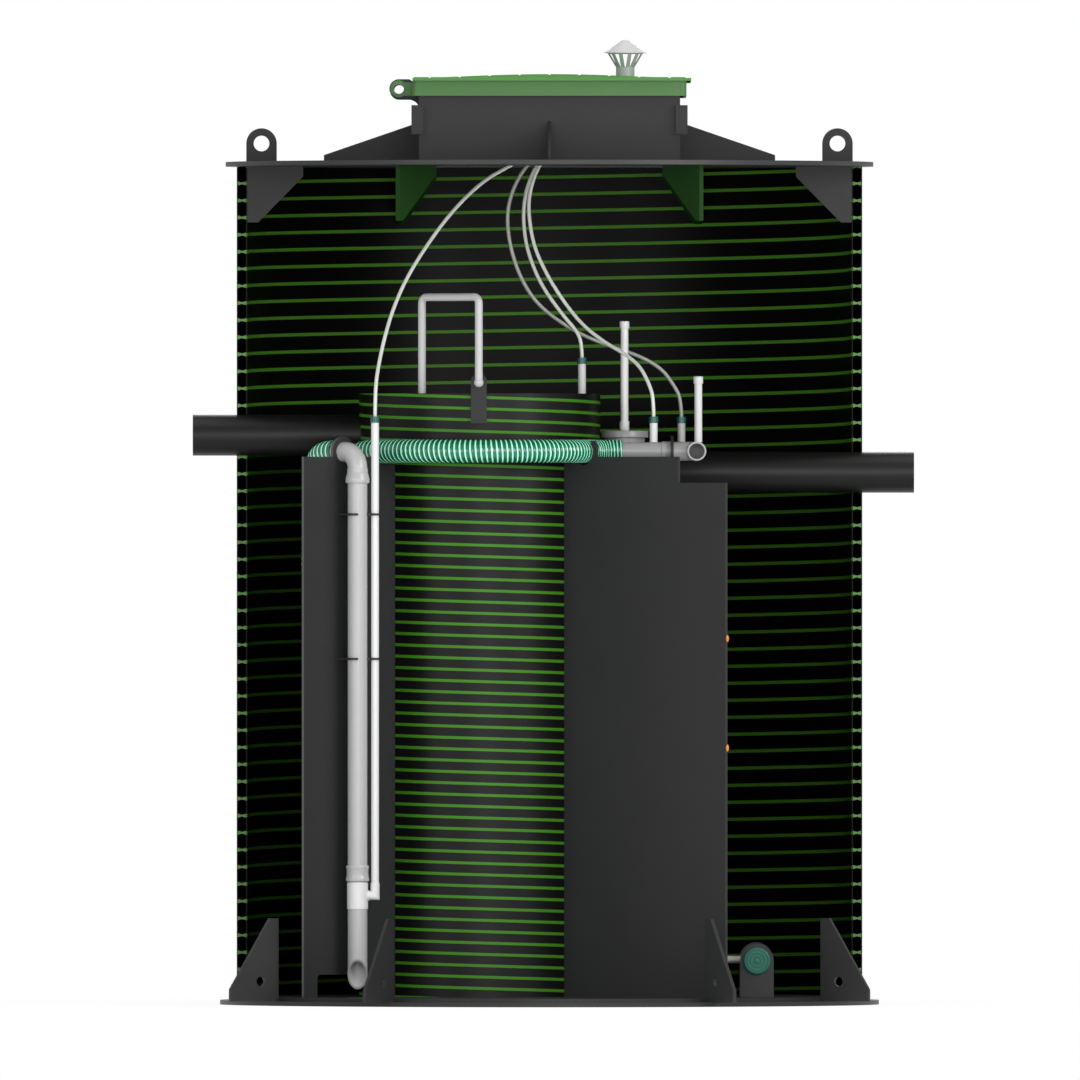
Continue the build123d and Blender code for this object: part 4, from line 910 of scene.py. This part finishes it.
@dataclass
class Fittings:
    """Turned fittings with the rounded edges and beads of the real ones, and small clips, in millimetres."""

    around: int = 48
    sharp_degrees: float = 40.0
    tee: Pair = (201.5, 0.0)
    tee_riser: Pair = (1541, 1835)
    elbow: Pair = (399.0, -222.0)
    elbow_riser: Pair = (1509, 1686)
    airlift: Pair = (-514.184, -407.298)
    diffuser: Pair = (556.0, 119.0)
    air_pipe_x: float = -467.184
    run_start: float = -487.5
    run_level: float = 295.0
    leg_top: float = 328.0
    leg_chamfer: float = 1.4
    pipe_radius: float = 12.3
    mouth_radius: float = 11.0
    pipe_points: int = 32
    clip: Point = (475.2, -661.5, 4.3)
    clip_half: float = 9.5
    clip_points: int = 9
    clip_tip: float = 0.15
    clip_levels: Pair = (983.6, 690.8)
    tee_cap: Outline = (
        (55, 1509), (55, 1521), (56, 1522), (63, 1522), (64, 1523), (64, 1538), (63, 1540.2), (60.5, 1541))
    lower_socket: Outline = (
        (26.5, 332), (28.8, 332), (30.9, 333.6), (31.6, 337), (31.2, 341), (29.8, 345), (29.3, 352),
        (29.3, 362), (29.8, 366), (30.8, 369.5), (30.4, 374), (28.8, 376), (26.5, 376))
    elbow_bead: Outline = (
        (26.6, 1398.6), (30, 1398.6), (32, 1401), (32.6, 1405), (32.3, 1410), (31, 1416), (29.4, 1422),
        (28.2, 1428), (27.6, 1429), (27, 1420))

    def turned(
        self, name: str, profile: Sequence[Pair], place: Pair,
        closed: bool = False, along_y: bool = False,
    ) -> Object:
        """Turn a profile about an upright axis, or about one along Y.

        Args:
            name: the object's name.
            profile: radius and level of each point of the outline.
            place: the axis: X and Y, or X and Z where it lies along Y.
            closed: whether the outline closes on itself, as a ring's does.
            along_y: whether the axis lies along Y.

        Returns:
            The object.
        """
        radius, level = np.array(profile).T[:, :, None]
        east, north = circle(self.around)
        across = place[0] + radius * east
        beside = place[1] + radius * north
        levels = np.broadcast_to(level, across.shape)
        rings = np.stack([across, levels, beside] if along_y else [across, beside, levels], -1) / MM_IN_M
        piece = loop_sweep(name, rings, capped=not closed, closed=closed)
        sharpen(piece, self.sharp_degrees)
        return piece

    def riser(self, name: str, place: Pair, levels: Pair, socket: bool) -> Object:
        """Turn a capped riser, with or without a socket at its foot."""
        low, top = levels
        foot = [(10.4, low)]
        if socket:
            foot = [(12.4, low), (12.9, low + 0.6), (12.9, low + 23.6), (12.3, low + 25), (10.4, low + 25.2)]
        cap = [(10.4, top - 20), (12.3, top - 20), (12.9, top - 19.2), (12.9, top - 3), (12.4, top - 1.2),
               (11.2, top - 0.3), (9, top)]
        return self.turned(name, foot + cap, place)

    def diffuser_face(self, side: int) -> Object:
        """Turn a ringed end face of the diffuser, in front or behind."""
        rim = [(35.7, 314.0), (35.7, 316.4), (34.8, 317.5), (33, 318), (30.4, 318)]
        rings = [(29.4, 316.9), (28, 316.9), (27, 318), (20.4, 318), (19.6, 316.9), (18.4, 316.9),
                 (17.6, 318)]
        boss = [(10.8, 318), (10, 316.4), (8.2, 316.4), (7.4, 318.2), (2.5, 318.8)]
        outline = [(radius, side * level) for radius, level in rim + rings + boss]
        name = "diffuser_front_face" if side < 0 else "diffuser_back_face"
        return self.turned(name, outline, self.diffuser, along_y=True)

    def air_pipe_elbow(self) -> Object:
        """Carry a circle along a run, a mitred corner and a leg."""
        beside, up = self.pipe_radius * circle(self.pipe_points)
        narrow = self.mouth_radius / self.pipe_radius
        x, level = self.air_pipe_x, self.run_level + up
        rings = np.array([np.broadcast_arrays(*ring) for ring in (
            (self.run_start, beside, level), (x - up, beside, level), (x - up, beside, self.leg_top),
            (x - narrow * up, narrow * beside, self.leg_top + self.leg_chamfer))])
        middle = (0, self.airlift[1], 0)
        piece = loop_sweep("air_pipe_elbow", (rings.transpose(0, 2, 1) + middle) / MM_IN_M)
        sharpen(piece, self.sharp_degrees)
        return piece

    def edge_clip(self, name: str, middle: float) -> Object:
        """Turn a small plug with round ends that sits on the partition's outer edge."""
        x, y, half = self.clip
        ends = np.radians(np.linspace(-90, 90, self.clip_points))
        radius = half * np.clip(np.cos(ends), self.clip_tip, 1)
        return self.turned(name, np.column_stack([radius, middle + self.clip_half * np.sin(ends)]), (x, y))

    def build(self, finishes: dict[str, Material]) -> None:
        """Make and dress the fittings.

        Args:
            finishes: the palette's materials by name.
        """
        upper, lower = self.clip_levels
        for piece, finish, slot, *nodes in (
            (self.riser("outlet_riser", self.tee, self.tee_riser, True),
             "white", "white_pipe", "capped_risers"),
            (self.riser("elbow_riser", self.elbow, self.elbow_riser, False),
             "riser", "white_pipe", "capped_risers"),
            (self.turned("outlet_tee_cap_turned", self.tee_cap, self.tee),
             "tee", "grey_pipe", "outlet_tee_cap"),
            (self.turned("airlift_lower_socket", self.lower_socket, self.airlift, closed=True),
             "grey", "grey_pipe", "airlift_socket"),
            (self.turned("airlift_elbow_bead", self.elbow_bead, self.airlift, closed=True),
             "grey", "grey_pipe"),
            (self.diffuser_face(-1), "teal", "teal_plastic"),
            (self.diffuser_face(1), "teal", "teal_plastic"),
            (self.air_pipe_elbow(), "white", "white_pipe"),
            (self.edge_clip("edge_clip_upper", upper), "clip", "lid_green"),
            (self.edge_clip("edge_clip_lower", lower), "clip", "lid_green"),
        ):
            dress(piece, finishes[finish])
            declare(piece, PLANT, slot, *nodes)


@dataclass
class Studio:
    """A pale floor and backdrop, soft lamps, and a long lens square on to the cut."""

    centre_x: float = -0.0255
    centre_z: float = 1.247
    width: float = 2.901
    half_angle: float = 0.62
    air_strength: float = 0.55
    floor_radius: float = 40.0
    floor_rings: int = 12
    floor_around: int = 64
    aim: Point = (0, 0, 1.2)
    lamps: tuple[tuple[str, Point, float, float], ...] = (
        ("key_lamp", (4.8, -5.2, 3.4), 3.2, 260),
        ("fill_lamp", (-4.6, -6.5, 2.4), 3.6, 110),
        ("front_lamp", (0.8, -10.0, 1.5), 5.0, 320),
        ("top_lamp", (0.0, -1.2, 6.5), 4.0, 120),
        ("back_lamp", (0.5, 5.5, 4.0), 3.0, 120))

    def build(self, stage: Material) -> None:
        """Set up the floor, lamps, world and camera."""
        self.floor(stage)
        self.light()
        world = bpy.data.worlds.new("studio_air")
        bpy.context.scene.world = world
        tree = empty_tree(world)
        air = add_node(tree, "ShaderNodeBackground", {"Color": (1, 1, 1, 1), "Strength": self.air_strength})
        white = add_node(tree, "ShaderNodeBackground", {"Color": (1, 1, 1, 1), "Strength": 1.0})
        path = add_node(tree, "ShaderNodeLightPath")
        mix = add_node(tree, "ShaderNodeMixShader", {0: path.outputs["Is Camera Ray"], 1: air, 2: white})
        add_node(tree, "ShaderNodeOutputWorld", {"Surface": mix})
        self.camera()
        bpy.context.scene.view_settings.view_transform = "Standard"

    def floor(self, stage: Material) -> None:
        """Make the floor as a round disc, rings of points spaced as the square of their number."""
        rings, around = self.floor_rings, self.floor_around
        radii = self.floor_radius * (np.arange(1, rings + 1) / rings) ** 2
        x, y = radii[None, :, None] * circle(around)[:, None, :]
        points = np.stack([x, y, np.zeros_like(x)], -1).reshape(-1, 3)
        number = np.arange(around)
        fan = np.column_stack([number, (number + 1) % around, np.full(around, len(points))])
        floor = build_mesh("floor", np.vstack([points, [[0, 0, 0]]]),
                           [grid_faces(rings, around, close_columns=True), fan])
        dress(floor, stage)

    def light(self) -> None:
        """Add the soft square lamps, which look at the middle of the plant."""
        for name, place, size, power in self.lamps:
            data = bpy.data.lights.new(name, "AREA")
            data.size = size
            data.energy = power
            lamp = bpy.data.objects.new(name, data)
            lamp.location = place
            aim = Vector(self.aim) - Vector(place)
            lamp.rotation_euler = aim.to_track_quat("-Z", "Y").to_euler()
            bpy.context.scene.collection.objects.link(lamp)

    def camera(self) -> None:
        """Add the camera far off in front, so that its rays are all but level."""
        distance = self.width / 2 / tan(radians(self.half_angle))
        data = bpy.data.cameras.new("camera")
        data.angle = 2 * radians(self.half_angle)
        data.clip_end = 3 * distance
        camera = bpy.data.objects.new("camera", data)
        camera.location = (self.centre_x, -distance, self.centre_z)
        camera.rotation_euler = (pi / 2, 0, 0)
        bpy.context.scene.collection.objects.link(camera)
        bpy.context.scene.camera = camera


NODE_FINISHES: dict[str, tuple[str, ...]] = {
    "sheet": ("base_plate", "floor_disc", "base_gussets", "right_partition", "rear_partition",
              "diffuser_plates", "airlift_clips"),
    # frame: the sheet's black painted darker, as shade
    "frame": ("lifting_lugs", "lug_brackets", "neck_front_and_back_walls", "neck_side_walls",
              "neck_corner_cleats", "neck_gussets", "neck_hinge_ears", "over_pipe_tab", "air_manifold"),
    # plate: the sheet's black painted lighter, as light
    "plate": ("top_plate",),
    "partition": ("left_partition",),
    "bracket": ("wall_brackets",),
    "lid": ("lid_panel", "lid_hinge_ears"),
    "grey": ("airlift_pipe", "airlift_elbow", "airlift_socket", "airlift_suction_pipe"),
    "tee": ("outlet_tee", "outlet_tee_cap"),
    "drain": ("transfer_pipe", "transfer_elbow"),
    "feed": ("diffuser_feed_pipe",),
    "vent": ("vent_pipe", "vent_cage"),
    "cap": ("vent_cap",),
    "white": ("transfer_stub", "airlift_air_pipe", "airlift_mixer"),
    # riser: the white pipe's colour painted greyer, as shade
    "riser": ("capped_risers", "cylinder_air_pipe"),
    "over": ("over_pipe",),
    "black": ("inlet_pipe", "outlet_pipe"),
    "teal": ("diffuser_tube",),
    "sleeve": ("hose_connectors",),
    "steel": ("hinge_tube",),
}


def main() -> None:
    """Load the frame, dress it and stage it."""
    logging.basicConfig(level=logging.INFO, format="%(name)s: %(message)s")
    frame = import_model()
    finishes = {key: finish.make() for key, finish in vars(Palette()).items()}
    for key, nodes in NODE_FINISHES.items():
        for node in nodes:
            dress(frame["nodes"][node], finishes[key])
    Studio().build(finishes["stage"])
    Hoses().build(finishes)
    Fittings().build(finishes)
    Lid().build(finishes)
    # The tank wall and the inner cylinder are wound from the same strip; their body, sheen and seam colours
    # are separate copies, each set for the light it gets: painted light and shade.
    SpiralWall(
        "tank_wall",
        WoundWall("wound_tank_wall", body="#020202", seam="#427421", top_seam=2.25065, pitch=0.0459,
                  width=0.0088),
        outer=0.84, inner=0.812, top=2.25, degrees=180, bores=((-0.9, -0.7, 1.5285), (0.7, 0.9, 1.429)),
    ).build(finishes["cut"])
    SpiralWall(
        "inner_cylinder",
        # the cylinder's own copy of the strip's colours: painted light and shade
        WoundWall("wound_cylinder_wall", body="#060606", seam="#387214", top_seam=1.614, pitch=0.03046,
                  width=0.008, centre_x=CYLINDER_X, sheen="#0A0A0A", specular=0.18),
        outer=0.324, inner=0.305, top=1.64, degrees=360, bores=((-0.6, -0.45, 1.5285),),
        skin=0.0025, web_middle=0.004, web_foot=0.008,
    ).build(finishes["cut"])


if __name__ == "__main__":
    main()
